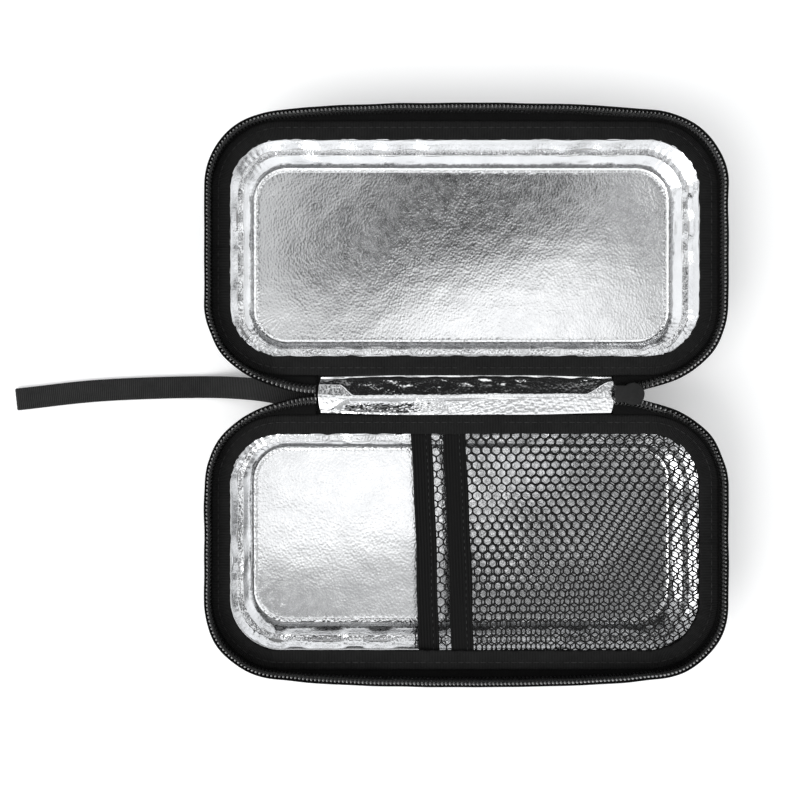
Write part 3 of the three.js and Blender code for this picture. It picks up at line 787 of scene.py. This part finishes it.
def tape_band(path, start, end):
    """The woven tape between two places on its path: sewn on below the rim, bent over it, and up."""
    bend = 1.6
    at = np.linspace(start, end, max(6, int(end - start)))
    x, y, nx, ny, tilt, height = read_path(path, at, "x", "y", "nx", "ny", "tilt", "height")
    norm = np.hypot(nx, ny)
    level = np.zeros_like(at)
    # The tape's middle line as (out, up, lean) from the rim's edge
    lines = [(level, level + up, level) for up in np.linspace(FLANGE_BOTTOM - RIM_Z, -bend, 4)]
    for t in np.linspace(0, 1, 6)[1:-1]:
        out = t * t * bend * np.sin(tilt)
        lines.append((out, -(1 - t) ** 2 * bend + t * t * bend * np.cos(tilt), tilt * t))
    for t in np.linspace(0, 1, 9):
        along = bend + (height - bend) * t
        lines.append((along * np.sin(tilt), along * np.cos(tilt), tilt))
    # It is thinner where it stands free, and thinnest at its edge
    thickness = TAPE_THICKNESS * np.array([0.8] * (len(lines) - 8) + [0.6] * 7 + [0.3])
    back = [
        (out + thick * np.cos(lean), up - thick * np.sin(lean), lean)
        for (out, up, lean), thick in zip(lines, thickness)
    ]
    rows = np.stack([
        np.stack([x + nx / norm * out, y + ny / norm * out, RIM_Z + up], 1)
        for out, up, _ in lines + back[::-1]
    ], 1)
    count, around = rows.shape[:2]
    side = lengths(rows[0, :around // 2])
    cloth = np.stack([np.repeat(at, around), np.tile(np.concatenate([side, side[::-1]]), count)], 1)
    return rows.reshape(-1, 3), folded_band(count, around), cloth


def tube(centres, radius, sides, guide):
    """Points and faces of a tube round a line, with its rings laid out from the guide directions."""
    way = unit(np.gradient(centres, axis=0))
    guide = unit(guide - way * np.sum(guide * way, 1)[:, None])
    side = np.cross(way, guide)
    angles = (np.arange(sides) * 2 * np.pi / sides)[None, :, None]
    rings = centres[:, None] + radius * (guide[:, None] * np.cos(angles) + side[:, None] * np.sin(angles))
    return rings.reshape(-1, 3), capped_tube(len(centres), sides)


def coil_band(path, start, end, phase):
    """The nylon spiral: flat loops of one filament, with a core cord inside them."""
    wire, wire_sides, steps_per_turn = 0.66, 6, 14
    core_radius, core_sides = 0.42, 8
    # The angle round each loop at which its painted highlight is centred
    brightest_angle = 1.15
    count = int((end - start) / COIL_PITCH * steps_per_turn)
    at = np.linspace(start, end, count)
    angle = at / COIL_PITCH * 2 * np.pi + phase
    middle = coil_middle(path, at)
    behind = -COIL_GAP - COIL_THICKNESS / 2

    def rounded(wave, reach):
        return (reach - wire) / 2 * np.sign(wave) * np.abs(wave) ** 0.8

    slanted_at = np.clip(at + 0.18 * COIL_PITCH * np.sin(2 * angle), 0, path["at"][-1])
    centres = on_tape(path, slanted_at, middle + rounded(np.cos(angle), COIL_DEPTH),
                      behind + rounded(np.sin(angle), COIL_THICKNESS))
    points, faces = tube(centres, wire / 2, wire_sides, centres - on_tape(path, at, middle, behind))
    # The first cloth coordinate grows to 1 at the loops' outer top, where the nylon's colour carries a
    # painted highlight
    painted_highlight = np.repeat(0.5 + 0.5 * np.cos(angle - brightest_angle), wire_sides)
    loops = (points, faces, np.stack([painted_highlight, 0 * painted_highlight, 0 * painted_highlight], 1))
    coarse = np.linspace(start, end, max(6, int(end - start)))
    middle = coil_middle(path, coarse)
    core = on_tape(path, coarse, middle, behind)
    points, faces = tube(core, core_radius, core_sides, on_tape(path, coarse, middle + 1, behind) - core)
    return join_parts([loops, (points, faces, np.zeros_like(points))])


# Pocket

# The net's meshes along X, and from row to row, and the place where the two nets' holes lie over each other
NET_PITCH = 3.8
NET_ROW = 2.93
NET_MATCH = np.array([12.4, 23.6])

# Half an elastic band's length
BAND_REACH = HALF_WIDTH + 3.0


def slanted(x, y):
    """The pocket's edges run a little askew."""
    return x + (HALF_WIDTH - y) * 0.037


def net_cell():
    """One mesh of the net: a rounded hole in six sides of yarn, as rings of points, with its faces."""
    half_pitch, half_diagonal = NET_PITCH / 2, math.hypot(NET_PITCH / 2, NET_ROW) / 2
    diagonal = math.atan2(NET_ROW, half_pitch)
    corner = math.atan2((NET_ROW ** 2 - half_pitch ** 2) / (2 * NET_ROW), half_pitch)
    spans = [(-corner, corner, 3), (corner, math.pi / 2, 4), (math.pi / 2, math.pi - corner, 4)]
    angles = np.concatenate([np.linspace(first, last, n, endpoint=False) for first, last, n in spans])
    angles = np.concatenate([angles, angles + math.pi])
    way = np.stack([np.cos(angles), np.sin(angles)])
    # How far each direction goes towards the three pairs of sides
    toward = [np.abs(way.T @ [math.cos(t), math.sin(t)]) for t in (0, diagonal, -diagonal)]
    border = 1 / np.maximum(toward[0] / half_pitch, np.maximum(toward[1], toward[2]) / half_diagonal)
    # The hole is a six-sided shape with rounded corners, between the inner faces of the yarn
    inner_faces, roundness = (1.60, 1.49, 1.49), 12
    hole = sum((t / face) ** roundness for t, face in zip(toward, inner_faces)) ** (-1 / roundness)
    thick = 0.22
    rings = [(1.0, thick), (0.45, thick * 0.86), (0.0, 0.0), (0.45, -thick * 0.86), (1.0, -thick)]
    points = [at_height(((hole + (border - hole) * share) * way).T, level) for share, level in rings]
    return np.concatenate(points), grid_quads(len(rings), len(angles), wrap_columns=True)


def net_sheet(edge_x, z, drift, seed):
    """A knitted net of staggered meshes; drift slides it more, the further from the matching place."""
    cell, cell_faces = net_cell()

    def slide(x, y):
        from_x, from_y = x - NET_MATCH[0], y - NET_MATCH[1]
        return x + drift * (0.37 * from_x - 0.93 * from_y), y + drift * 0.6 * from_x

    points, faces = [], []
    for row in range(-24, 9):
        for column in range(-30, 31):
            x, y = NET_MATCH + [(column + row % 2 / 2) * NET_PITCH, row * NET_ROW]
            shown_x, shown_y = slide(x, y)
            if inside_outline(shown_x, shown_y, 2.4) and shown_x > slanted(edge_x, shown_y) - 3.0:
                faces.append(cell_faces + len(points) * len(cell))
                points.append(cell + [x, y, 0])
    points = np.concatenate(points)
    plan = points[:, :2]
    x, y = slide(*plan.T)
    x = x + ripple(plan, 34, seed, 7) * 0.10 + ripple(plan, 9, seed + 1, 7) * 0.03
    y = y + ripple(plan, 34, seed + 2, 7) * 0.10 + ripple(plan, 9, seed + 3, 7) * 0.03
    free = smooth((HALF_LENGTH - 2 - np.abs(x)) / 18) * smooth((HALF_WIDTH - 2 - np.abs(y)) / 14)
    sag = (-0.25 + ripple(plan, 38, seed + 4, 6) * 0.07) * free
    return np.stack([x, y, z + points[:, 2] + sag], 1), np.concatenate(faces).tolist(), points


def band_line(edge_x, width, share, y, seed):
    """X and the dip of an elastic band, slightly bowed, at a share of its width from its left edge."""
    bow = 0.22 * np.sin(y / 13 + seed) + 0.12 * np.sin(y / 5.1 + 2 * seed)
    return slanted(edge_x - 0.3, y) - width * (1 - share) + bow, -0.35 * (1 - (y / BAND_REACH) ** 2)


def elastic_band(edge_x, width, z, seed):
    """A ribbed elastic band with seven cords lengthwise."""
    thick, cords = 0.7, 7
    along = np.linspace(-BAND_REACH, BAND_REACH, 150)
    across = np.linspace(0, 1, cords * 8 + 1)
    at_edge = smooth(across / 0.03) * smooth((1 - across) / 0.03)
    ridges = thick / 2 + 0.13 * np.abs(np.sin(across * np.pi * cords)) ** 0.7
    ridges *= 0.55 + 0.45 * at_edge
    sections = []
    for y in along:
        x, dip = band_line(edge_x, width, across, y, seed)
        top = np.stack([x, np.full_like(x, y), z + ridges + dip], 1)
        low = np.stack([x, np.full_like(x, y), np.full_like(x, z - thick / 2 + dip)], 1)
        sections.append(np.concatenate([top, low[::-4]]))
    around = len(sections[0])
    points = np.concatenate(sections)
    cloth = np.stack([np.repeat(along, around), points[:, 0] - slanted(edge_x - 0.3, points[:, 1])], 1)
    return points, capped_tube(len(along), around), cloth


# Hinge strip

def strip(x0, x1, y0, y1, top, bottom, spacing, spacing_y=None):
    """A closed strip over an area. Its top and bottom are heights, or functions of x and y."""
    steps_x = max(2, int((x1 - x0) / spacing))
    steps_y = max(4, int((y1 - y0) / (spacing_y or spacing)))
    x, y = np.meshgrid(np.linspace(x0, x1, steps_x + 1), np.linspace(y0, y1, steps_y + 1), indexing="ij")
    upper, lower = (
        np.stack([x, y, height(x, y) if callable(height) else np.full_like(x, height)], -1)
        for height in (top, bottom)
    )
    rows = np.concatenate([upper, lower[:, ::-1]], 1)
    points = rows.reshape(-1, 3)
    return points, folded_band(*rows.shape[:2]), points[:, :2]


def hinge_foil_top(x, y):
    """Foil over a soft core: a ridge along the middle, a fall to the lid's side, and fanned ends.
    On the base's side it falls gently at the right, and at the left it drops into a groove and rises again.
    A narrow edge on each side is turned towards the base."""
    plan = np.stack([x.ravel(), y.ravel()], 1)

    def rough(stretch_x, length, seed):
        return ripple(plan * [stretch_x, 1.0], length, seed, 12).reshape(x.shape)

    def by_side(on_lid, on_base):
        return np.where(across > 0, on_lid, on_base)

    # The ridge wanders along the middle line, and its crest is rounded
    ridge = -0.55 + 0.3 * np.sin(x / 19) + 0.10 * np.sin(x / 5.3)
    across = y - SPINE_Y - ridge
    from_ridge = np.sqrt(np.maximum(np.abs(across) - 0.45, 0) ** 2 + 0.04) - 0.2
    # The foil stays nearly level as far out as the fan, falls from there, and is turned at its edge
    fan = by_side(4.3 * smooth((-x - 42.5) / 6), 5.0 * smooth((-x - 43.5) / 10))
    fan += 5.6 * smooth((x - 46) / 10)
    edge = by_side(6.5 - ridge, 6.2 + ridge) + 0.15 * np.sin(x / 7) + 0.13 * rough(0.5, 4.0, 65)
    past_fan = np.maximum(np.minimum(from_ridge, edge) - fan, 0)
    grooved = smooth((-x - 2) / 26) * smooth((edge - fan) / 3)
    height = -by_side(0.07, 0.2) * np.minimum(from_ridge, fan)
    height -= by_side(np.minimum(0.47, 3.15 / edge), 0.18 - 0.70 * grooved) * past_fan
    height -= by_side(0.0, 2.6 * grooved) * smooth(past_fan / 0.4)
    height += by_side(0.22, -0.24) * np.maximum(from_ridge - edge, 0)
    # A shallow crease beside the ridge, and small dents on the base's side
    crease = hump(from_ridge, 0.55, 0.3) * smooth((25 - x) / 30) * (1 - grooved)
    height -= by_side(0.0, 0.32) * crease * smooth(past_fan / 0.2)
    blobs = smooth((-across - 1.3) / 0.6) * smooth(past_fan / 0.6) * smooth((30 - x) / 50)
    height += 0.034 * blobs * (rough(1.0, 1.3, 61) + rough(0.8, 2.0, 67))
    height += by_side(0.4, 1.0) * (0.012 * rough(0.7, 1.6, 62) + 0.02 * rough(0.12, 6.0, 64))
    return 26.35 + height


def bowed(shape):
    """The hinge strip's ends bulge, and its long edges draw in towards them."""
    points, faces, cloth = shape
    x, across = points[:, 0], points[:, 1] - SPINE_Y
    end = smooth((np.abs(x) - 48) / 9)
    bulge = end * np.where(x > 0, 1.1, -0.1) - 1.1 * end * (across / 7.7) ** 2
    drawn_in = 1 - 0.10 * smooth((np.abs(x) - 22) / 36)
    return np.stack([x + np.sign(x) * bulge, SPINE_Y + across * drawn_in, points[:, 2]], 1), faces, cloth


def hinge_cover(half_width):
    """The hinge strip's outer fabric, longer than the foil and tucked in at its ends. Each end has a notch in
    its middle, through which the pull tab swings."""
    foil_end = SPINE_HALF_LENGTH + 0.3
    reach = SPINE_HALF_LENGTH + 2.6

    def underside(x, y):
        return FLANGE_BOTTOM + 0.12 * np.cos((y - SPINE_Y) / half_width * np.pi)

    points, faces, _ = strip(
        -reach, reach, SPINE_Y - half_width, SPINE_Y + half_width,
        top=FLANGE_TOP, bottom=underside, spacing=0.65,
    )
    across = points[:, 1] - SPINE_Y
    past_foil = np.abs(points[:, 0]) > foil_end
    across[past_foil] *= 0.93
    notched = past_foil & (np.abs(across) < 4.4)
    points[:, 1] = SPINE_Y + across
    points[notched, 0] = np.sign(points[notched, 0]) * (foil_end + 0.2)
    return points, faces, points[:, :2]


# Strap, slider and pull tab

STRAP_PLAN = np.array([[0, 0], [-8.8, 0.2], [-24.8, 2.4], [-48.8, 3.3], [-88.8, 1.9], [-122.6, -1.7]])


def smooth_line(points, count):
    """A smooth curve through points, in even steps of its parameter."""
    padded = np.concatenate([[2 * points[0] - points[1]], points, [2 * points[-1] - points[-2]]])
    spans = len(points) - 1
    line = []
    for t in np.linspace(0, spans, count):
        k = min(int(t), spans - 1)
        u = t - k
        a, b, c, d = padded[k:k + 4]
        twice = 2 * b + (c - a) * u
        twice += (2 * a - 5 * b + 4 * c - d) * u ** 2 + (3 * b - a - 3 * c + d) * u ** 3
        line.append(twice / 2)
    return np.array(line)


def strap_loop():
    """The wrist strap: one ribbon out on top, folded over at its end and back underneath."""
    half_width, thick, cords, gap = 4.5, 0.74, 5, 0.52
    lying_z = 1.025
    plan = resample(smooth_line(STRAP_PLAN, 120) + [STRAP_PIVOT_X, SPINE_Y], 0.7)
    fall = smooth((STRAP_PIVOT_X - plan[:, 0]) / 48.8)
    middle = at_height(plan, STRAP_Z + (lying_z - STRAP_Z) * fall)
    way = unit(np.gradient(middle, axis=0))
    side = unit(np.stack([-way[:, 1], way[:, 0], 0 * way[:, 0]], 1))
    up = np.cross(way, side)
    up *= np.sign(up[:, 2])[:, None]
    end_bulge = smooth((middle[:, 0].min() + 9 - middle[:, 0]) / 8)
    top, low = middle + up * (gap + 0.45 * end_bulge)[:, None], middle - up * gap

    def fold(k, sign):
        """Frames round the fold at one end, from the upper layer on, or with sign -1 from the lower."""
        centre, radius = (top[k] + low[k]) / 2, np.linalg.norm(top[k] - low[k]) / 2
        angles = np.linspace(0, np.pi, 9)[1:-1]
        directions = [sign * (up[k] * math.cos(a) + way[k] * math.sin(a)) for a in angles]
        return [[centre + direction * radius, direction, side[k]] for direction in directions]

    # A frame is the ribbon's middle with its outer face's direction and its side's
    upper, lower = np.stack([top, up, side], 1), np.stack([low, -up, side], 1)
    frames = np.concatenate([upper, fold(-1, 1), lower[::-1], fold(0, -1)])
    across = np.linspace(-1, 1, 23)
    ribs = 0.10 * np.abs(np.cos(across * np.pi * cords / 2)) ** 0.6
    rounding = np.clip((1 - np.abs(across)) / 0.06, 0, 1) ** 0.5
    section = np.stack([across * half_width, (thick / 2 + ribs - 0.06) * (0.45 + 0.55 * rounding)], 1)
    section = np.concatenate([section, section[::-1] * [1, -1]])
    place, outward, sideways = (frames[:, None, k] for k in range(3))
    rows = place + sideways * section[:, :1] + outward * section[:, 1:]
    count, around = rows.shape[:2]
    cloth = np.stack([np.repeat(lengths(frames[:, 0]), around), np.tile(section[:, 0], count)], 1)
    return rows.reshape(-1, 3), grid_quads(count, around, True, True), cloth


def rounded_plate(shape, z0, z1, bevel):
    """A plate from an anticlockwise outline, with its top and bottom edges rounded."""
    shape = np.array(shape)
    way = unit(unit(np.roll(shape, -1, 0) - shape) + unit(shape - np.roll(shape, 1, 0)))
    inward = np.stack([-way[:, 1], way[:, 0]], 1)
    arc = np.linspace(0, np.pi / 2, 4)
    levels = [(bevel * (1 - math.sin(t)), bevel * (1 - math.cos(t))) for t in arc]
    rings = [at_height(shape + inward * inset, z0 + rise) for inset, rise in levels]
    rings += [at_height(shape + inward * inset, z1 - rise) for inset, rise in levels[::-1]]
    points = np.concatenate(rings)
    return points, capped_tube(len(rings), len(shape)), points


def soft_box(x, half_x, half_y, z0, z1, bevel):
    """A box over the hinge's middle line, with its edges rounded and its upright corners cut off."""
    short_x, short_y = half_x - bevel, half_y - bevel
    corners = [
        (-short_x, -half_y), (short_x, -half_y), (half_x, -short_y), (half_x, short_y),
        (short_x, half_y), (-short_x, half_y), (-half_x, short_y), (-half_x, -short_y),
    ]
    return rounded_plate(np.array(corners) + [x, SPINE_Y], z0, z1, bevel)


def slider_parts():
    """Two plates with the shape of a keyhole, the wedge between them, and the bail under them."""
    neck_x, bulge_x, radius, neck = 56.9, 63.9, 4.35, 3.3
    start = math.asin(neck / radius)
    shoulder, root = bulge_x - radius * math.cos(start) - 0.6, neck_x + 0.5
    bulge = np.linspace(math.pi + start, 3 * math.pi - start, 40)
    neck_end = np.linspace(math.pi / 2, 3 * math.pi / 2, 8)[1:-1]
    shape = np.array([
        (root, -neck), (shoulder, -neck),
        *((bulge_x + radius * math.cos(a), radius * math.sin(a)) for a in bulge),
        (shoulder, neck), (root, neck),
        *((root + 0.5 * math.cos(a), neck * math.sin(a)) for a in neck_end),
    ]) + [0, SPINE_Y + 0.4]
    return join_parts([
        rounded_plate(shape, 24.1, 25.1, 0.3),
        rounded_plate(shape, 29.06, 30.06, 0.34),
        soft_box(bulge_x + radius - 1.8, 1.5, 0.6, 24.6, 29.6, 0.25),
        soft_box(BAIL_X - 2.7, 0.4, 1.0, 21.25, 24.5, 0.22),
        soft_box(BAIL_X + 2.7, 0.4, 1.0, 21.25, 24.5, 0.22),
        soft_box(BAIL_X, 3.1, 1.0, 21.2, 22.0, 0.25),
    ])


def pull_tab():
    """A hanging tab with a window at its top for the bail, built as a closed band round the window."""
    half_width, length, thick, bevel = 3.5, 20.0, 1.4, 0.25
    face, tip = thick / 2, half_width - length
    arc = np.linspace(0, -math.pi, 17)
    outer = np.array([
        (0.5 - half_width, 0.55), (half_width - 0.5, 0.55), (half_width, 0.05),
        *((half_width * math.cos(a), tip + half_width * math.sin(a)) for a in arc),
        (-half_width, 0.05),
    ])
    window = soften([
        (0, -0.55, 0), (1.4, -0.55, 0.4), (1.4, -4.1, 0.6), (-1.4, -4.1, 0.6), (-1.4, -0.55, 0.4),
        (-0.01, -0.55, 0),
    ], 3)[:-1]
    window_middle = np.array([0, -2.3])
    angles = np.linspace(0, 2 * np.pi, 72, endpoint=False)
    rays = np.stack([np.cos(angles), np.sin(angles)], 1)

    def cross(a, b):
        return a[..., 0] * b[..., 1] - a[..., 1] * b[..., 0]

    def hits(line):
        """Where the rays from the window's middle leave a closed line."""
        start, edge = line - window_middle, np.roll(line, -1, 0) - line
        turn = cross(rays[:, None], edge)
        turn[np.abs(turn) < 1e-9] = np.inf
        reach, share = cross(start, edge) / turn, cross(start, rays[:, None]) / turn
        on_edge = (share >= -1e-6) & (share <= 1 + 1e-6)
        return window_middle + rays * np.where(on_edge, reach, 0).max(axis=1)[:, None]

    inner_line, outer_line = hits(window), hits(outer)
    width = np.linalg.norm(outer_line - inner_line, axis=1)[:, None]
    way = (outer_line - inner_line) / width
    # The section as (distance from the window, level): along one face, and back along the other
    rounded = [(0, bevel - face), (0.3 * bevel, 0.3 * bevel - face), (bevel, -face)]
    section = rounded + [(bevel + (width - 2 * bevel) * share, -face) for share in (0.35, 0.7)]
    section += [(width - inset, level) for inset, level in rounded[::-1]]
    section += [(distance, -level) for distance, level in section[::-1]]
    points = np.concatenate([at_height(inner_line + way * distance, level) for distance, level in section])
    hung = np.stack([BAIL_X + points[:, 2], SPINE_Y + points[:, 0], BAIL_Z + points[:, 1]], 1)
    return hung, grid_quads(len(section), len(rays), True, True), points


# The pieces

# The rim's row of stitches: how far out it is, and the height of the ribbon's top under it
SEAM_OFFSET = 4.5
SEAM_Z = 26.13

# For a tape's end, the places along X given with its two carriers: its half at the first, the hinge at the
# second
BLEND_X = {"left": (-86.0, -60.0), "right": (86.0, 69.0)}


def sewn_half(name, ramps, end_labels, seed, turn, seam_at, liner_top, phase):
    """Everything that is sewn to one half; turn places a half's points in the shared frame."""

    def sew(label, shape, material, slot, stands_for=None, carrier=name):
        points, faces, cloth = shape
        return add(f"{name}_{label}", (turn(points), faces, cloth), material, slot, carrier, stands_for)

    sew("cover_shell", cover_shell(), COVER, "cover_fabric", f"{name}_outer_cover")
    core = sew("foam_tray", foam_tray(liner_top - 0.8), INSULATION, "insulation", f"{name}_insulation_foam")
    sew("foil_tray", foil_tray(liner_top, seed), FOIL, "foil", f"{name}_foil_liner")
    sew("binding_ribbon", binding(seed + 10, seam_at), RIBBON, "binding_ribbon", f"{name}_rim_binding")
    seam = Outline(1.0).ring(SEAM_OFFSET)
    seam = at_height(np.concatenate([seam, seam[:1]]), SEAM_Z)
    sew("rim_stitches", stitches(seam, pitch=2.9, length=2.3), THREAD, "binding_ribbon")
    path = tape_path(*ramps, seed + 20)
    standing = path["at"][~path["end"]]
    first, last = standing[0], standing[-1]
    end_of_path = path["at"][-1]
    stretches = (("standing", first, last), (end_labels[0], 0, first), (end_labels[1], last, end_of_path))
    for label, start, end in stretches:
        carrier, solids = name, (f"{name}_zipper_tape", f"{name}_zipper_coil")
        if label != "standing":
            far, near = ((x * MM, 0, 0) for x in BLEND_X[label])
            carrier = ("base", "hinge", far, near) if name == "base" else ("hinge", "lid", near, far)
            solids = f"{name}_tape_end_{label}", f"{name}_coil_end_{label}"
        sew(f"tape_{label}", tape_band(path, start, end), TAPE, "zipper_tape", solids[0], carrier)
        sew(f"coil_{label}", coil_band(path, start, end, phase), COIL, "zipper_coil", solids[1], carrier)


sewn_half("base", (SLIDER_RAMP, FREE_RAMP), ("right", "left"), 100, lambda points: points, 118.0, 23.1, 0.0)
sewn_half("lid", (FREE_RAMP, SLIDER_RAMP), ("left", "right"), 200, to_lid, 130.0, 24.9, math.pi)

# A net's sheet runs from the elastic's edge to under the ribbon
for label, edge_x, z, drift, seed, width in (
    ("rear", -12.3, 23.65, 0.03, 301, 106.0),
    ("front", 0.9, 24.45, 0.0, 302, 93.0),
):
    shape = net_sheet(edge_x, z, drift, seed)
    net = add(f"{label}_net_mesh", shape, NET, "net", "base", f"{label}_net", merge=0.02)

# Each band has one row of stitches, at this share of its width and this far over its middle
STITCHED_AT = 0.72
STITCH_RISE = 0.36
for label, edge_x, width, z, seed in (("rear", -12.3, 8.0, 23.75, 1), ("front", 0.9, 8.7, 24.55, 2)):
    band = elastic_band(edge_x, width, z, seed)
    add(f"{label}_elastic_ribbed", band, ELASTIC, "elastic", "base", f"{label}_elastic_band")
    y = np.linspace(HALF_WIDTH + 2, -HALF_WIDTH - 2, 60)
    x, dip = band_line(edge_x, width, STITCHED_AT, y, seed)
    threads = stitches(np.stack([x, y, z + STITCH_RISE + dip], 1), pitch=2.6, length=1.5)
    add(f"{label}_elastic_stitches", threads, THREAD, "elastic", "base")

strip_half_width = SPINE_WIDTH / 2 - 0.3
wrinkled = strip(
    -SPINE_HALF_LENGTH, SPINE_HALF_LENGTH, SPINE_Y - strip_half_width, SPINE_Y + strip_half_width,
    top=hinge_foil_top, bottom=lambda x, y: hinge_foil_top(x, y) - 0.3, spacing=0.35, spacing_y=0.14,
)
add("hinge_foil_wrinkled", bowed(wrinkled), HINGE_FOIL, "foil", "hinge", "hinge_foil_strip")
core = strip(
    -SPINE_HALF_LENGTH + 1.4, SPINE_HALF_LENGTH - 1.4, SPINE_Y - 5.6, SPINE_Y + 3.6,
    top=lambda x, y: np.maximum(hinge_foil_top(x, y) - 0.6, 23.35), bottom=23.2, spacing=0.7,
)
add("hinge_foam_core", core, INSULATION, "insulation", "hinge", "hinge_foam_strip")
add("hinge_cover_fabric", hinge_cover(strip_half_width), COVER, "cover_fabric", "hinge", "hinge_outer_cover")


def across_gusset(side, before, after):
    """Places along Y before and after the base's rim edge, or the same places mirrored to the lid's."""
    low, high = RIM_EDGE_Y - before, RIM_EDGE_Y + after
    return (low, high) if side == "base" else (2 * SPINE_Y - high, 2 * SPINE_Y - low)


# Outer fabric that joins a half's cover to the hinge strip, so that no gap opens in the fold
gusset_reach = SPINE_HALF_LENGTH + 8.5
for side, bodies in (("base", ("base", "hinge")), ("lid", ("hinge", "lid"))):
    flap = strip(
        -gusset_reach, gusset_reach, *across_gusset(side, 2.2, 2.9),
        top=FLANGE_BOTTOM - 0.05, bottom=FLANGE_BOTTOM - 0.5, spacing=0.45,
    )
    bend = ((0, y * MM, 0) for y in across_gusset(side, 0.6, 2.4))
    add(f"{side}_hinge_gusset", flap, COVER, "cover_fabric", (*bodies, *bend))

add("strap_webbing_loop", strap_loop(), WEBBING, "strap_webbing", "strap", "wrist_strap")
tuck = strip(-58.0, -50.0, SPINE_Y - 4.5, SPINE_Y + 4.5, top=21.85, bottom=20.1, spacing=0.5)
add("strap_root_tuck", tuck, WEBBING, "strap_webbing", "hinge", "wrist_strap_root")
add("slider_body", slider_parts(), METAL, "slider_metal", "slider", "zipper_slider", sharp=50)
add("slider_pull_tab", pull_tab(), METAL, "slider_metal", "pull_tab", "zipper_pull_tab", sharp=50)


# Stage and light

def stage_material():
    """A white table: near white in the light, and a little lifted where the camera sees it."""
    g = material_graph("table_top")
    rays = g.tree.nodes.new("ShaderNodeLightPath").outputs
    reflected = g.math("ADD", rays["Is Glossy Ray"], rays["Is Transmission Ray"])
    seen = g.math("ADD", rays["Is Camera Ray"], reflected)
    return g.finish(
        Base_Color=g.greys(g.noise(g.rest, 60.0, 2.0), (0.2, 0.90), (0.8, 0.93)),
        Roughness=0.6,
        Specular_IOR_Level=0.1,
        Emission_Color=(1.0, 1.0, 1.0, 1.0),
        Emission_Strength=g.math("MULTIPLY", seen, 0.2),
    )


TABLE_REACH = 2500.0
table = np.array([[-1, -1, 0], [1, -1, 0], [1, 1, 0], [-1, 1, 0]]) * TABLE_REACH
mesh_object("table_top", (table, [[0, 1, 2, 3]], table), stage_material())

# The room's brightness by how far a direction leans from the zenith, and its share by the lean along Y
LEVEL_BY_LEAN = [(0.0, 0.62), (0.33, 0.62), (0.47, 1.4), (1.1, 1.4), (1.8, 0.6), (4.0, 0.5)]
SHARE_BY_Y = [
    (-4.0, 0.3), (-2.2, 0.3), (-1.4, 1.0), (0.3, 1.0), (0.72, 0.9), (0.86, 0.012), (1.35, 0.012), (1.9, 0.6),
    (4.0, 0.6),
]

# Brighter and darker patches of it: place, turn, half sides and amount
PATCHES = [
    (0.05, 0.0, 0.0, 0.40, 0.03, 0.70),
    (0.13, 0.085, 0.1, 0.18, 0.06, 0.85),
    (-0.06, -0.112, 0.0, 0.24, 0.052, 1.0),
    (0.15, -0.16, 0.0, 0.25, 0.10, 0.12),
    (-0.88, -0.20, 0.0, 0.20, 0.16, -0.8),
    (-0.62, 0.03, 0.0, 0.12, 0.25, -0.35),
    (0.62, -0.32, 0.0, 0.35, 0.24, -1.30),
    (0.295, 0.17, 0.0, 0.018, 0.13, -0.70),
    (2.00, -0.25, 0.0, 0.90, 0.35, 0.70),
    (0.19, 0.78, 0.0, 0.20, 0.05, 0.40),
    (0.30, 0.17, 0.0, 0.09, 0.14, -0.14),
    (-0.17, 0.16, 0.0, 0.07, 0.12, 0.10),
    (0.085, 0.225, 0.25, 0.115, 0.075, -0.90),
    (-0.055, 0.145, 0.5, 0.06, 0.05, -0.75),
    (0.60, 0.10, 0.0, 0.20, 0.40, -0.45),
    (-0.17, -0.225, 0.0, 0.15, 0.09, -0.35),
]
ROOM_TINT = (0.985, 0.993, 1.0)


def studio_world():
    """A bright room over the table, whose level follows the lean of a direction, x / z and y / z.
    The camera itself sees it plain white."""
    g = Graph(bpy.data.worlds.new("studio"), "Background")

    def by_lean(lean, low, high, stops):
        share = g.math("DIVIDE", g.math("SUBTRACT", lean, low), high - low)
        stops = [((place - low) / (high - low), level) for place, level in stops]
        return g.greys(share, *stops, between="EASE")

    direction = g.node("ShaderNodeTexCoord", "Generated")
    up = g.math("MAXIMUM", g.axis(direction, "Z"), 0.04)
    lean_x, lean_y = (g.math("DIVIDE", g.axis(direction, letter), up) for letter in "XY")
    lean = g.math("SQRT", g.blend(lean_x, lean_x, lean_y, lean_y))
    level = g.math("MULTIPLY", by_lean(lean, 0.0, 4.0, LEVEL_BY_LEAN), by_lean(lean_y, -4.0, 4.0, SHARE_BY_Y))
    for x, y, turn, long_side, short_side, amount in PATCHES:
        dx, dy = g.math("SUBTRACT", lean_x, x), g.math("SUBTRACT", lean_y, y)
        along = g.blend(dx, math.cos(turn) / long_side, dy, math.sin(turn) / long_side)
        across = g.blend(dx, -math.sin(turn) / short_side, dy, math.cos(turn) / short_side)
        patch = g.math("EXPONENT", g.math("MULTIPLY", g.blend(along, along, across, across), -1.0))
        level = g.math("ADD", level, g.math("MULTIPLY", patch, amount))
    level = g.math("MAXIMUM", level, 0.01)
    seen = g.node("ShaderNodeLightPath", "Is Camera Ray")
    level = g.math("ADD", level, g.math("MULTIPLY", seen, g.math("SUBTRACT", 1.0, level)))
    red, green, blue = (g.math("MULTIPLY", level, share) for share in ROOM_TINT)
    tinted = g.node("ShaderNodeCombineColor", "Color", Red=red, Green=green, Blue=blue)
    return g.finish(Color=tinted, Strength=1.0)


bpy.context.scene.world = studio_world()

# One large soft lamp, aimed at the case
lamp_data = bpy.data.lights.new("key_box", "AREA")
lamp_data.shape = "RECTANGLE"
lamp_data.size, lamp_data.size_y = 0.8, 0.8
lamp_data.energy = 9.0
lamp = bpy.data.objects.new("key_box", lamp_data)
lamp.location = (-0.75, -0.5, 1.05)
lamp.rotation_euler = (Vector((0.0, 0.055, 0.02)) - lamp.location).to_track_quat("-Z", "Y").to_euler()
bpy.context.scene.collection.objects.link(lamp)

bpy.context.scene.view_settings.view_transform = "Standard"
